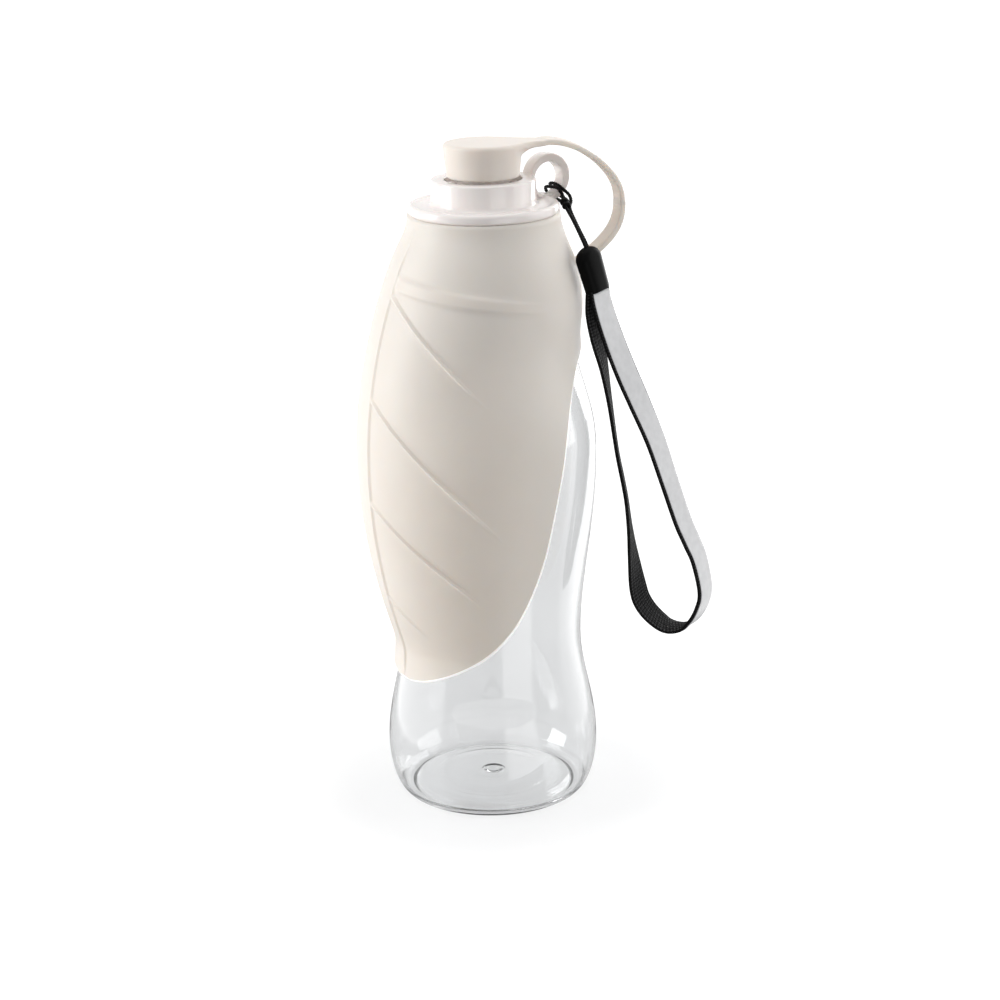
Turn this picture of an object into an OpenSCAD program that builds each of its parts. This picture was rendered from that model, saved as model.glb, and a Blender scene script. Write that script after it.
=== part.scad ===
// Dog travel water bottle: a clear waisted bottle inside a folded silicone leaf that opens
// into a drinking trough, a screw cap with a pouring spout, a stopper on a strap, and a
// wrist lanyard with a reflective front.
// +Z is up. The origin is on the bottle's axis, in the plane of its foot ring. -Y is the front.

/* [Bottle] */
// Radius of the foot ring that the bottle stands on
foot_r = 29.5; // [26:0.5:32]
// Width of the flat land of the foot ring
foot_land = 1.2; // [0.6:0.1:2]
// Diameter at the widest place of the base
base_d = 72.3; // [66:0.1:76]
// Height of the widest place of the base
base_z = 18.5; // [14:0.5:24]
// Diameter of the grip waist
waist_d = 61.8; // [56:0.1:66]
// Height of the grip waist
waist_z = 57; // [48:1:64]
// Diameter of the bulge
bulge_d = 73.2; // [68:0.1:76]
// Height of the bulge
bulge_z = 121; // [112:1:126]
// Diameter of the shallow recess above the bulge
recess_d = 58.8; // [54:0.1:64]
// Height of the shallow recess above the bulge
recess_z = 161; // [152:1:164]
// Diameter of the shoulder
shoulder_d = 60.4; // [56:0.1:64]
// Height where the shoulder starts to round over
shoulder_z = 172; // [168:0.5:178]
// Height of the foot of the neck
neck_z = 195.5; // [193:0.1:196]
// Outer diameter of the neck
neck_d = 28.0; // [26:0.1:28.6]
// Wall of the bottle
bottle_wall = 1.0; // [0.6:0.1:1.4]
// Wall of the neck
neck_wall = 2.1; // [1.6:0.1:2.6]
// Depth of the push-up in the base
punt_h = 3.4; // [2:0.1:6]

/* [Neck finish] */
// Diameter of the ring that carries the leaf
neck_ring_d = 33.6; // [32:0.1:36]
// Thickness of that ring
neck_ring_h = 1.8; // [1.2:0.1:2]
// Height of the neck above the cap's lower face
finish_h = 6.0; // [5:0.1:6.6]
// Lead of the cap's thread for one turn
thread_lead = 3.175; // [2.5:0.005:4]

/* [Leaf trough] */
// Height of the leaf's top face, where the cap clamps it
leaf_top_z = 201.8; // [200:0.1:203]
// Diameter of the leaf's top edge
leaf_top_d = 50.4; // [48:0.1:52]
// Wall of the silicone
leaf_wall = 1.7; // [1.2:0.1:2.2]
// Wall of the silicone at its free edge
leaf_edge_wall = 1.1; // [0.8:0.1:1.6]
// Gap between the leaf and the bottle where it hugs the bottle
leaf_gap = 0.35; // [0.3:0.05:0.8]
// Direction of the midrib, in degrees round from +X
midrib_dir = 208.5; // [190:0.5:240]
// Height of the leaf's tip
tip_z = 46; // [40:0.5:50]
// Radius of the folded bowl at the midrib, where it is widest
bowl_r = 44.6; // [41:0.1:48]
// Height of the bowl's widest place
bowl_z = 122; // [114:1:128]
// Drop of the bowl's outline below its widest place, in mm over 100 mm of height
bowl_drop_low = 27; // [22:0.5:32]
// Drop of the bowl's outline above its widest place, in mm over 100 mm of height
bowl_drop_high = 33; // [28:0.5:40]
// How tightly the stand-off fades away from the midrib
bowl_fade = 1.6; // [1:0.1:3]
// Height of the leaf's edge at the closed back
back_edge_z = 163; // [150:1:170]
// Height of the raised veins
vein_h = 0.8; // [0.3:0.1:1.2]
// Half width of a thin vein
vein_w = 1.3; // [1:0.1:1.6]
// Half width of the broad fold above the veins
fold_w = 2.9; // [2:0.1:3]
// Height of the raised midrib
midrib_h = 0.6; // [0.3:0.1:1.2]
// Half width of the midrib
midrib_w = 1.5; // [1:0.1:2.4]

/* [Cap] */
// Diameter of the flange
flange_d = 49.7; // [46:0.1:51]
// Thickness of the flange
flange_h = 3.5; // [3:0.1:4]
// Diameter of the collar
collar_d = 34.6; // [33.6:0.1:36]
// Height of the collar's top above the cap's lower face
collar_h = 11.4; // [10.8:0.1:13]
// Diameter of the threaded socket
socket_d = 30.2; // [29.8:0.1:31]
// Thickness of the roof between the socket and the well
roof_h = 1.6; // [1.2:0.1:2]
// Diameter of the well round the spout
well_d = 25.6; // [24.6:0.1:27]
// Outer diameter of the spout
spout_d = 17.2; // [15:0.1:18]
// Bore of the spout
spout_bore_d = 13.0; // [10:0.1:14]
// Height of the spout's rim above the cap's lower face
spout_top = 17.7; // [15:0.1:18.5]
// Rounding of the flange's rim
flange_round = 1.3; // [0.6:0.1:1.6]
// Fillet between the flange and the collar
collar_fillet = 1.4; // [0.6:0.1:2]
// Rounding of the collar's and the spout's rims
rim_round = 0.8; // [0.3:0.1:1]
// Thickness of the seal ring in the socket
gasket_h = 1.4; // [1:0.1:1.8]

/* [Lanyard ring] */
// Direction of the ring, in degrees round from +X
ring_dir = 33; // [20:1:45]
// Distance of the ring's centre from the axis
ring_rho = 24.7; // [24:0.1:25]
// Height of the ring's centre above the cap's lower face
ring_up = 9.45; // [9:0.05:10]
// Outer diameter of the ring
ring_d = 15.8; // [15.2:0.1:16.6]
// Diameter of the ring's eye
eye_d = 10.4; // [9.6:0.1:10.8]
// Thickness of the ring
ring_t = 6.0; // [4.5:0.1:6.2]
// Rounding of the ring's edges
ring_round = 0.8; // [0.3:0.1:1.1]

/* [Stopper] */
// Diameter of the stopper's head
stopper_d = 26.0; // [24.6:0.1:27]
// Diameter of the stopper's lower edge
stopper_low_d = 23.9; // [22:0.1:24.4]
// Height of the stopper's head
stopper_h = 11.3; // [10:0.1:12]
// Height of the stopper's lower edge above the collar
stopper_gap = 0.5; // [0.3:0.1:1]
// Rounding of the stopper's upper edge
stopper_round = 1.3; // [0.6:0.1:2]
// Length of the strap's flared root beyond the head
tab_l = 6.0; // [4:0.5:8]
// Running gap between the stopper and the spout
stopper_fit = 0.3; // [0.2:0.05:0.5]

/* [Strap] */
// Direction of the strap, in degrees round from +X
strap_dir = 14; // [8:1:18]
// Width of the strap
strap_w = 9.0; // [7:0.1:10]
// Thickness of the strap
strap_t = 2.0; // [1.4:0.1:2.4]

/* [Lanyard] */
// Diameter of the thin cord
cord_d = 1.0; // [0.8:0.1:1.2]
// Width of the webbing
webbing_w = 10.0; // [8:0.5:11]
// Thickness of the webbing
webbing_t = 1.2; // [0.8:0.1:1.4]
// Width of the reflective tape
tape_w = 8.4; // [6:0.1:9]
// Thickness of the reflective tape
tape_t = 0.3; // [0.2:0.1:0.5]

/* [Hidden] */
$fn = 96;

cream = [0.86, 0.83, 0.79];
warm_white = [0.93, 0.90, 0.88];
black = [0.03, 0.03, 0.035];
clear = [0.85, 0.90, 0.92, 0.35];

// ---- shared heights and radii ----
cap_z = leaf_top_z;                        // lower face of the cap
finish_z = cap_z + finish_h;               // rim of the neck
roof_z = finish_z + gasket_h;              // underside of the cap's roof
well_z = roof_z + roof_h;                  // floor of the well
collar_z = cap_z + collar_h;               // top of the collar
spout_z = cap_z + spout_top;               // rim of the spout
stopper_z = collar_z + stopper_gap;        // lower edge of the stopper
stopper_top_z = stopper_z + stopper_h;     // top of the stopper
leaf_disc_t = 2.0;                         // thickness of the leaf's clamped disc
ring_seat_z = leaf_top_z - leaf_disc_t;    // upper face of the neck ring
neck_r = neck_d / 2;
leaf_hole_r = neck_r + 1.0;                // hole of the leaf's disc, clear of the neck's thread

// ---- curves ----
// A smooth step from 0 to 1, with level ends
function ease(t) = (1 - cos(180 * min(max(t, 0), 1))) / 2;
// From a to b as z goes from za to zb; skew moves the bend towards zb when it is over 1
function ease_between(z, za, a, zb, b, skew = 1) =
    a + (b - a) * ease(pow(min(max((z - za) / (zb - za), 0), 1), skew));
// A quarter ellipse's reach from 0 to 1
function quarter(t) = sqrt(max(0, 1 - pow(min(max(t, 0), 1), 2)));
// The larger of two values, blended over a width
function soft_max(a, b, w) = (a + b + sqrt(pow(a - b, 2) + w * w)) / 2;
// A point of the Catmull-Rom curve through a list of points, at index u
function along(pts, u) =
    let (n = len(pts) - 1, i = min(floor(u), n - 1), t = u - i,
         a = pts[max(i - 1, 0)], b = pts[i], c = pts[i + 1], d = pts[min(i + 2, n)])
    0.5 * (2 * b + (c - a) * t + (2 * a - 5 * b + 4 * c - d) * t * t
           + (3 * b - a - 3 * c + d) * t * t * t);
function unit(v) = v / norm(v);

// Outer radius of the bottle's body at a height
function bottle_r(z) =
    z < base_z ? foot_r + (base_d / 2 - foot_r) * quarter(1 - z / base_z) :
    z < waist_z ? ease_between(z, base_z, base_d / 2, waist_z, waist_d / 2) :
    z < bulge_z ? ease_between(z, waist_z, waist_d / 2, bulge_z, bulge_d / 2, 0.9) :
    z < recess_z ? ease_between(z, bulge_z, bulge_d / 2, recess_z, recess_d / 2, 1.15) :
    z < shoulder_z ? ease_between(z, recess_z, recess_d / 2, shoulder_z, shoulder_d / 2) :
    neck_r + (shoulder_d / 2 - neck_r) * quarter((z - shoulder_z) / (neck_z - shoulder_z));

// ---- bottle ----
heel_steps = 9;
body_step = 3.5;
shoulder_steps = 12;
body_heights = concat(
    [for (i = [0 : heel_steps - 1]) base_z * (1 - cos(90 * i / heel_steps))],
    [for (z = [base_z : body_step : shoulder_z - 1]) z],
    [for (i = [0 : shoulder_steps]) shoulder_z + (neck_z - shoulder_z) * sin(90 * i / shoulder_steps)]);
body_outside = [for (z = body_heights) [bottle_r(z), z]];
body_inside = [for (z = body_heights) if (z > bottle_wall * 2) [bottle_r(z) - bottle_wall, z]];
gate_r = 3.6;
punt_r = foot_r - foot_land - 1.6;

module bottle() {
    neck_ring_z = ring_seat_z - neck_ring_h;
    color(clear)
    rotate_extrude()
    polygon(concat(
        [[0, punt_h - 0.5], [gate_r - 0.6, punt_h - 0.5], [gate_r, punt_h],
         [punt_r * 0.55, punt_h - 0.4], [punt_r, punt_h - 1.6], [foot_r - foot_land - 0.5, 0.5],
         [foot_r - foot_land, 0]],
        body_outside,
        [[neck_r, neck_ring_z - 0.6], [neck_ring_d / 2, neck_ring_z], [neck_ring_d / 2, ring_seat_z],
         [neck_r, ring_seat_z], [neck_r, finish_z - 0.5], [neck_r - 0.5, finish_z],
         [neck_r - neck_wall + 0.4, finish_z], [neck_r - neck_wall, finish_z - 0.4],
         [neck_r - neck_wall, neck_z + 1]],
        [for (i = [len(body_inside) - 1 : -1 : 0])
            [max(body_inside[i][0], neck_r - neck_wall), body_inside[i][1]]],
        [[foot_r - foot_land, bottle_wall + 0.5], [foot_r - foot_land - 1, bottle_wall + 1],
         [punt_r, punt_h - 1.6 + bottle_wall], [punt_r * 0.55, punt_h - 0.4 + bottle_wall],
         [0, punt_h + bottle_wall]]));
}

// ---- leaf trough ----
// Outline of one half of the leaf, from the closed back down to the tip: degrees from the midrib
// and height. The first two lie on the back, where the two halves are one.
leaf_outline = [
    [180, leaf_top_z], [180, back_edge_z], [150, 158.5], [126, 153.5], [112, 145], [103.5, 134], [98, 120],
    [93.5, 106], [89.5, 93], [83, 80], [73.5, 68.5], [59, 59], [41, 52.5], [22, 48], [6, tip_z]];
outline_last = len(leaf_outline) - 1;
// Down the closed back in a straight line, then along a curve that starts level, as a mirror of itself
open_outline = [for (i = [0 : outline_last])
    i == 0 ? [360 - leaf_outline[2][0], leaf_outline[2][1]] : leaf_outline[i]];
function outline_at(u) =
    u <= 1 ? leaf_outline[0] + (leaf_outline[1] - leaf_outline[0]) * u : along(open_outline, u);
collar_low_z = shoulder_z + 4;
hug = leaf_gap + leaf_wall;
leaf_shoulder_r = bottle_r(collar_low_z) + hug;
// Outer radius where the leaf hugs the bottle
function leaf_hug_r(z) =
    z < collar_low_z ? bottle_r(z) + hug
    : ease_between(leaf_top_z - z, 0, leaf_top_d / 2, leaf_top_z - collar_low_z, leaf_shoulder_r, 0.92);
// Outer radius of the folded bowl along the midrib
function bowl_outline_r(z) =
    bowl_r - (z < bowl_z ? bowl_drop_low : bowl_drop_high) * pow((z - bowl_z) / 100, 2);
// Outer radius of the leaf at an angle from the midrib and a height, without its relief
function leaf_r(phi, z) =
    let (h = leaf_hug_r(z), stand = soft_max(bowl_outline_r(z) - h, 0, 0.8))
    h + stand * pow((1 + cos(phi)) / 2, bowl_fade) * ease((leaf_top_z - z) / 14);

// The raised lines from the midrib towards the edge, highest first: height at the midrib, place on
// the outline that the line aims at, half width there, half width of its crest, height,
// how much it bows, and the share of the way at which it has faded.
fold_back_z = 167;
veins = [
    [182.3, (leaf_top_z - fold_back_z) / (leaf_top_z - back_edge_z), fold_w, fold_w * 0.55, 1, 1.25, 0.58],
    [177.9, 6.2, vein_w, 0, 1, 1.38, 0.72],
    [144.5, 8.5, vein_w, 0, 1, 1.22, 0.86],
    [109.6, 10, vein_w, 0, 1, 1.13, 0.86],
    [76, 11.7, vein_w, 0, 0.6, 1, 0.6]];
// Outline places in 1 mm of height beside a vein
function edge_step(v) = v[1] < 1 ? 1 / (leaf_top_z - back_edge_z) : 0.09;
// Rows of the leaf's mesh: start on the midrib, end on the outline, height, bow and fading
function foot_row(v, side) = [v[0] - side * v[2], v[1] + side * v[2] * edge_step(v) * 0.6, 0, v[5], v[6]];
function crest_rows(v) =
    v[3] == 0 ? [[v[0], v[1], v[4], v[5], v[6]]]
    : [for (side = [-1, 1]) [v[0] - side * v[3], v[1] + side * v[3] * edge_step(v) * 0.6, v[4], v[5], v[6]]];
function vein_rows(v) = concat([foot_row(v, -1)], crest_rows(v), [foot_row(v, 1)]);
function rows_between(a, b, n) = [for (i = [1 : n]) a + (b - a) * i / (n + 1)];
// Below the fold the edge opens: one row ends exactly at the closed back's lowest point
back_row = [veins[0][0] - fold_w - 0.1, 1, 0, 1.1, 1];
top_row = [leaf_top_z, 0, 0, 1, 1];
tip_row = [tip_z + 0.4, outline_last, 0, 1, 1];
gap_rows = [9, 4, 4, 4];
rows = concat(
    [top_row], rows_between(top_row, foot_row(veins[0], -1), 5), vein_rows(veins[0]), [back_row],
    [for (k = [1 : len(veins) - 1]) each concat(
        rows_between(k == 1 ? back_row : foot_row(veins[k - 1], 1), foot_row(veins[k], -1), gap_rows[k - 1]),
        vein_rows(veins[k]))],
    rows_between(foot_row(veins[len(veins) - 1], 1), tip_row, 4),
    [tip_row]);
half_columns = 22;
columns = 2 * half_columns;
// Share of the way from the midrib to the outline, with two narrow columns that shape the midrib
function column_phi(j, end_phi, r) =
    let (w = min(midrib_w / r * 57.3, end_phi / 4), a = abs(j))
    sign(j) * (a == 0 ? 0 : a == 1 ? w * 0.55 : a == 2 ? w
               : w + (end_phi - w) * (a - 2) / (half_columns - 2));
// The half away from the camera is smooth beside the midrib, and its lines rise beyond this angle
smooth_side = 34;
function relief(j, s, phi, height, faded) =
    let (a = abs(j),
         rib = a == 0 ? 1 : a == 1 ? 0.85 : 0,
         rise = j < 0 ? ease((abs(phi) - smooth_side) / 16) : ease(s / 0.07))
    vein_h * height * rise * ease((faded - s) / 0.3) + midrib_h * rib;
// Wall at a share of the way out, down from the closed back
function wall_at(s, open) = leaf_wall + (leaf_edge_wall - leaf_wall) * ease((s - 0.7) / 0.3) * open;
function leaf_point(row, j, inner) =
    let (end = outline_at(row[1]),
         phi = column_phi(j, min(end[0], 180), bowl_r),
         s = abs(phi) / end[0],
         z = row[0] + (end[1] - row[0]) * pow(s, row[3]),
         body = ease((leaf_top_z - z) / 20) * ease((z - tip_z + 2) / 8),
         skin = inner ? -wall_at(s, ease(row[1] / 0.9)) : relief(j, s, phi, row[2], row[4]) * body,
         r = leaf_r(phi, z) + skin,
         dir = midrib_dir + phi)
    [r * cos(dir), r * sin(dir), z];

n_rows = len(rows);
seam_rows = len([for (r = rows) if (r[1] <= 1) 1]);      // rows that close at the back
across = columns + 1;
sheet = n_rows * across;
// The closed back shares its first and last column
function at(side, k, c) = side * sheet + k * across + (c == columns && k < seam_rows ? 0 : c);
hole_at = 2 * sheet;
function ring_at(level, c) = hole_at + level * columns + c % columns;
leaf_points = concat(
    [for (r = rows) for (c = [0 : columns]) leaf_point(r, c - half_columns, false)],
    [for (k = [0 : n_rows - 1]) for (c = [0 : columns])
        let (p = leaf_point(rows[k], c - half_columns, true))
        k == 0 ? [p[0], p[1], leaf_top_z - leaf_disc_t] : p],
    [for (z = [leaf_top_z, leaf_top_z - leaf_disc_t]) for (c = [0 : columns - 1])
        let (dir = midrib_dir + column_phi(c - half_columns, 180, bowl_r))
        [leaf_hole_r * cos(dir), leaf_hole_r * sin(dir), z]]);
function quad(a, b, c, d) = [[a, b, c], [a, c, d]];
leaf_faces = concat(
    // the two skins
    [for (k = [0 : n_rows - 2]) for (c = [0 : columns - 1])
        each quad(at(0, k, c), at(0, k, c + 1), at(0, k + 1, c + 1), at(0, k + 1, c))],
    [for (k = [0 : n_rows - 2]) for (c = [0 : columns - 1])
        each quad(at(1, k, c), at(1, k + 1, c), at(1, k + 1, c + 1), at(1, k, c + 1))],
    // the clamped disc and its hole
    [for (c = [0 : columns - 1])
        each quad(at(0, 0, c), ring_at(0, c), ring_at(0, c + 1), at(0, 0, c + 1))],
    [for (c = [0 : columns - 1])
        each quad(ring_at(0, c), ring_at(1, c), ring_at(1, c + 1), ring_at(0, c + 1))],
    [for (c = [0 : columns - 1])
        each quad(ring_at(1, c), at(1, 0, c), at(1, 0, c + 1), ring_at(1, c + 1))],
    // the free edge, down both sides and across the tip
    [for (k = [seam_rows - 1 : n_rows - 2])
        each quad(at(0, k, 0), at(0, k + 1, 0), at(1, k + 1, 0), at(1, k, 0))],
    [for (k = [seam_rows - 1 : n_rows - 2])
        each quad(at(0, k, columns), at(1, k, columns), at(1, k + 1, columns), at(0, k + 1, columns))],
    [for (c = [0 : columns - 1])
        each quad(at(0, n_rows - 1, c), at(0, n_rows - 1, c + 1), at(1, n_rows - 1, c + 1),
                  at(1, n_rows - 1, c))]);

module leaf_trough() {
    color(cream) polyhedron(leaf_points, leaf_faces, convexity = 6);
}

// ---- cap ----
function arc(cx, cz, r, a0, a1, n = 6) =
    [for (i = [0 : n]) let (a = a0 + (a1 - a0) * i / n) [cx + r * cos(a), cz + r * sin(a)]];

module cap_shell() {
    flange_r = flange_d / 2;
    collar_r = collar_d / 2;
    flange_dish = flange_h * 0.14;
    flange_top = cap_z + flange_h - flange_dish;
    well_round = rim_round * 0.6;
    rotate_extrude()
    polygon(concat(
        [[socket_d / 2, cap_z]],
        arc(flange_r - flange_round, cap_z + flange_round, flange_round, -90, 0),
        arc(flange_r - flange_round, cap_z + flange_h - flange_round, flange_round, 0, 90),
        [[flange_r - flange_round * 1.9, flange_top]],
        arc(collar_r + collar_fillet, flange_top + collar_fillet, collar_fillet, 270, 180),
        arc(collar_r - rim_round, collar_z - rim_round, rim_round, 0, 90),
        arc(well_d / 2 + well_round, collar_z - well_round, well_round, 90, 180, 4),
        [[well_d / 2, well_z], [spout_d / 2, well_z]],
        arc(spout_d / 2 - rim_round, spout_z - rim_round, rim_round, 0, 90),
        [[spout_bore_d / 2 + well_round, spout_z], [spout_bore_d / 2, spout_z - well_round],
         [spout_bore_d / 2, roof_z], [socket_d / 2, roof_z]]));
}

module lanyard_ring() {
    rotate([0, 0, ring_dir]) translate([ring_rho, 0, cap_z + ring_up]) rotate([90, 0, 0])
    rotate_extrude()
    polygon(concat(
        arc(eye_d / 2 + ring_round, -ring_t / 2 + ring_round, ring_round, 180, 270, 4),
        arc(ring_d / 2 - ring_round, -ring_t / 2 + ring_round, ring_round, -90, 0, 4),
        arc(ring_d / 2 - ring_round, ring_t / 2 - ring_round, ring_round, 0, 90, 4),
        arc(eye_d / 2 + ring_round, ring_t / 2 - ring_round, ring_round, 90, 180, 4)));
}

// The ring's foot: a web on the flange from the collar, and a lug past the rim with a moulded pocket
foot_clear = 0.4;                                        // the lug's height above the leaf
lug_out = ring_d * 0.15;                                 // how far the lug reaches past the ring's middle
pocket_deep = ring_t * 0.2;
module ring_foot() {
    web_in = collar_d / 2 - rim_round;
    lug_z = cap_z + foot_clear;
    web_z = cap_z + ring_up - eye_d / 2 - ring_round / 2;
    pocket_w = lug_out * 1.15;
    pocket_h = web_z - lug_z - rim_round * 2;
    rotate([0, 0, ring_dir]) difference() {
        translate([web_in, ring_t / 2 - ring_round / 2, 0])
        rotate([90, 0, 0])
        linear_extrude(ring_t - ring_round)
        polygon([[0, lug_z], [ring_rho + lug_out - web_in, lug_z],
                 [ring_rho + lug_out - web_in, web_z - rim_round], [ring_rho - web_in, web_z],
                 [rim_round * 3, web_z], [0, web_z + rim_round]]);
        translate([ring_rho + lug_out - rim_round / 2 - pocket_w, -ring_t / 2, lug_z + rim_round / 2])
        cube([pocket_w, pocket_deep, pocket_h]);
    }
}

module cap() {
    color(warm_white) union() {
        cap_shell();
        lanyard_ring();
        ring_foot();
    }
}

module cap_gasket() {
    gasket_fit = 0.2;
    color([0.80, 0.78, 0.74])
    rotate_extrude()
    polygon([[neck_r - neck_wall + gasket_fit, finish_z], [socket_d / 2 - gasket_fit, finish_z],
             [socket_d / 2 - gasket_fit, roof_z], [neck_r - neck_wall + gasket_fit, roof_z]]);
}

// ---- stopper ----
tab_in = stopper_d * 0.31;
tab_out = stopper_d / 2 + tab_l;
tab_root_w = stopper_d * 0.865;
tab_steps = 12;
function tab_half_w(t) = (tab_root_w + (strap_w - tab_root_w) * ease(t)) / 2;

module stopper() {
    cavity_r = spout_d / 2 + stopper_fit;
    color(cream) union() {
        rotate_extrude()
        polygon(concat(
            [[0, spout_z + stopper_fit], [cavity_r, spout_z + stopper_fit], [cavity_r + 0.3, stopper_z],
             [stopper_low_d / 2 - stopper_round / 3, stopper_z],
             [stopper_low_d / 2, stopper_z + stopper_round / 3]],
            arc(stopper_d / 2 - stopper_round, stopper_top_z - stopper_round, stopper_round, 0, 90),
            [[0, stopper_top_z]]));
        // the root of the strap, which flares out of the head
        rotate([0, 0, strap_dir]) translate([0, 0, stopper_top_z - strap_t])
        linear_extrude(strap_t)
        polygon(concat(
            [for (i = [0 : tab_steps]) let (t = i / tab_steps)
                [tab_in + (tab_out - tab_in) * t, tab_half_w(t)]],
            [for (i = [tab_steps : -1 : 0]) let (t = i / tab_steps)
                [tab_in + (tab_out - tab_in) * t, -tab_half_w(t)]]));
    }
}

// ---- strap ----
// Middle of the strap in its own upright plane: distance beyond the root's end and height below
// the root for the upper part, and distance beyond the leaf's wall and height above the foot for the
// lower part
strap_gap = 0.3;
strap_top_z = stopper_top_z - strap_t / 2;
strap_foot_z = leaf_top_z - 19.5;
strap_foot_r = leaf_hug_r(strap_foot_z) - leaf_wall * 0.5;
strap_path = concat(
    [for (p = [[strap_gap, 0], [2.5, -0.3], [5.8, 0], [9.2, 0.9], [12.6, 2.3], [16.2, 4.4], [19.5, 6.8],
               [22.6, 9.8], [25.2, 13.2], [26.9, 17.0]]) [tab_out + p[0], strap_top_z - p[1]]],
    [for (p = [[16.1, 20.7], [15.8, 16.7], [14.6, 13.1], [12.5, 9.9], [9.6, 6.9], [5.8, 3.8],
               [2.4, 1.3], [0, 0]]) [strap_foot_r + p[0], strap_foot_z + p[1]]]);

// A flat band swept along points, each with its own sideways direction
module band(points, sides, w, t, lift = 0) {
    n = len(points);
    function heading(i) = unit(points[min(i + 1, n - 1)] - points[max(i - 1, 0)]);
    function side_of(i) = unit(sides[i] - (sides[i] * heading(i)) * heading(i));
    function face_of(i) = cross(heading(i), side_of(i));
    rings = [for (i = [0 : n - 1]) let (s = side_of(i) * w / 2, f = face_of(i) * t / 2,
                                        p = points[i] + face_of(i) * lift)
             each [p + s * 0.92 + f, p + s + f * 0.3, p + s - f * 0.3, p + s * 0.92 - f,
                   p - s * 0.92 - f, p - s - f * 0.3, p - s + f * 0.3, p - s * 0.92 + f]];
    polyhedron(rings, tube_faces(n, 8), convexity = 8);
}
function tube_faces(n, m) = concat(
    [[for (j = [0 : m - 1]) j]],
    [for (i = [0 : n - 2]) for (j = [0 : m - 1])
        each quad(i * m + j, (i + 1) * m + j, (i + 1) * m + (j + 1) % m, i * m + (j + 1) % m)],
    [[for (j = [m - 1 : -1 : 0]) (n - 1) * m + j]]);

module stopper_strap() {
    across_dir = [-sin(strap_dir), cos(strap_dir), 0];
    color(cream)
    band([for (p = strap_path) [p[0] * cos(strap_dir), p[0] * sin(strap_dir), p[1]]],
         [for (p = strap_path) across_dir], strap_w, strap_t);
}

// ---- lanyard ----
// The thin cord: up from the bead, round the ring's lower band and back
cord_route = [
    [33.8, -8.9, 190.6], [33.2, -8.0, 192.6], [30.3, -0.4, 197.8], [27.4, 7.6, 202.6],
    [27.3, 10.8, 204.3], [28.3, 14.0, 205.3], [26.2, 17.4, 205.2], [24.0, 20.4, 205.9],
    [22.2, 20.6, 207.6], [21.4, 18.4, 208.8], [23.6, 15.2, 208.6], [25.4, 12.0, 208.2],
    [26.2, 9.8, 206.2], [26.5, 7.4, 203.2], [29.5, -0.7, 198.5], [32.4, -8.4, 193.0],
    [33.2, -9.4, 190.9]];
// The webbing: out of the bead, down the front run, round the end and up the back run.
// The last number of each point is the direction of its width, in degrees from +Y towards +X.
webbing_route = [
    [37.3, -9.5, 178.0, 40], [38.0, -9.5, 173.5, 40], [39.8, -9.4, 167.0, 42], [43.2, -9.2, 157.0, 45],
    [46.5, -9.0, 148.5, 47], [50.1, -9.0, 140.0, 46], [55.8, -9.0, 126.0, 40], [60.4, -9.0, 112.0, 37],
    [65.0, -9.0, 98.0, 36], [68.1, -9.0, 90.5, 35], [70.9, -9.0, 83.5, 33], [72.9, -9.0, 73.0, 30],
    [71.8, -9.0, 67.0, 30], [69.2, -9.0, 62.4, 30], [65.4, -9.0, 59.8, 30], [60.4, -9.0, 60.2, 32],
    [55.6, -9.0, 63.8, 34], [51.8, -9.0, 69.0, 35], [50.0, -9.0, 75.0, 33], [48.4, -9.0, 86.0, 18],
    [47.4, -9.0, 95.0, 8], [46.3, -9.0, 105.0, 4], [45.0, -9.0, 112.5, 3], [43.1, -9.0, 122.5, 3],
    [40.8, -8.9, 139.0, 6], [38.9, -8.7, 151.0, 14], [37.0, -8.6, 161.0, 28], [36.1, -8.5, 169.0, 38],
    [36.1, -8.5, 173.5, 40], [36.3, -8.4, 178.0, 40]];
tape_last = 14;                                          // the tape ends where the loop turns up
function width_dir(a) = [sin(a), cos(a), 0];
function smooth_route(route, first, last, n) =
    [for (i = [0 : n]) along(route, first + (last - first) * i / n)];
function place(p) = [p[0], p[1], p[2]];

module lanyard_cord() {
    pts = smooth_route(cord_route, 0, len(cord_route) - 1, 48);
    color(black) round_tube(pts, cord_d / 2);
}

// A round tube of 8 sides along points
module round_tube(points, r) {
    n = len(points);
    function heading(i) = unit(points[min(i + 1, n - 1)] - points[max(i - 1, 0)]);
    function turned(v, i) = unit(v - (v * heading(i)) * heading(i));
    // each ring carries the one before it along, so the tube never twists
    sides = [for (i = 0, s = turned([0.3, 0.2, 1], 0); i < n; i = i + 1, s = i < n ? turned(s, i) : s) s];
    rings = [for (i = [0 : n - 1]) for (j = [0 : 7])
             let (b = cross(heading(i), sides[i]))
             points[i] + r * (cos(45 * j) * sides[i] + sin(45 * j) * b)];
    polyhedron(rings, tube_faces(n, 8), convexity = 8);
}

crimp_at = [27.0, 7.5, 202.9];
crimp_dir = unit([3.2, -8.0, -4.8]);
module toward(dir) {
    rotate([0, acos(dir[2]), atan2(dir[1], dir[0])]) children();
}
module lanyard_crimp() {
    color(black)
    translate(crimp_at) toward(crimp_dir)
    rotate_extrude()
    polygon([[0, -1.8], [1.0, -1.8], [1.35, -1.3], [1.35, 1.3], [1.0, 1.8], [0, 1.8]]);
}

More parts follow.
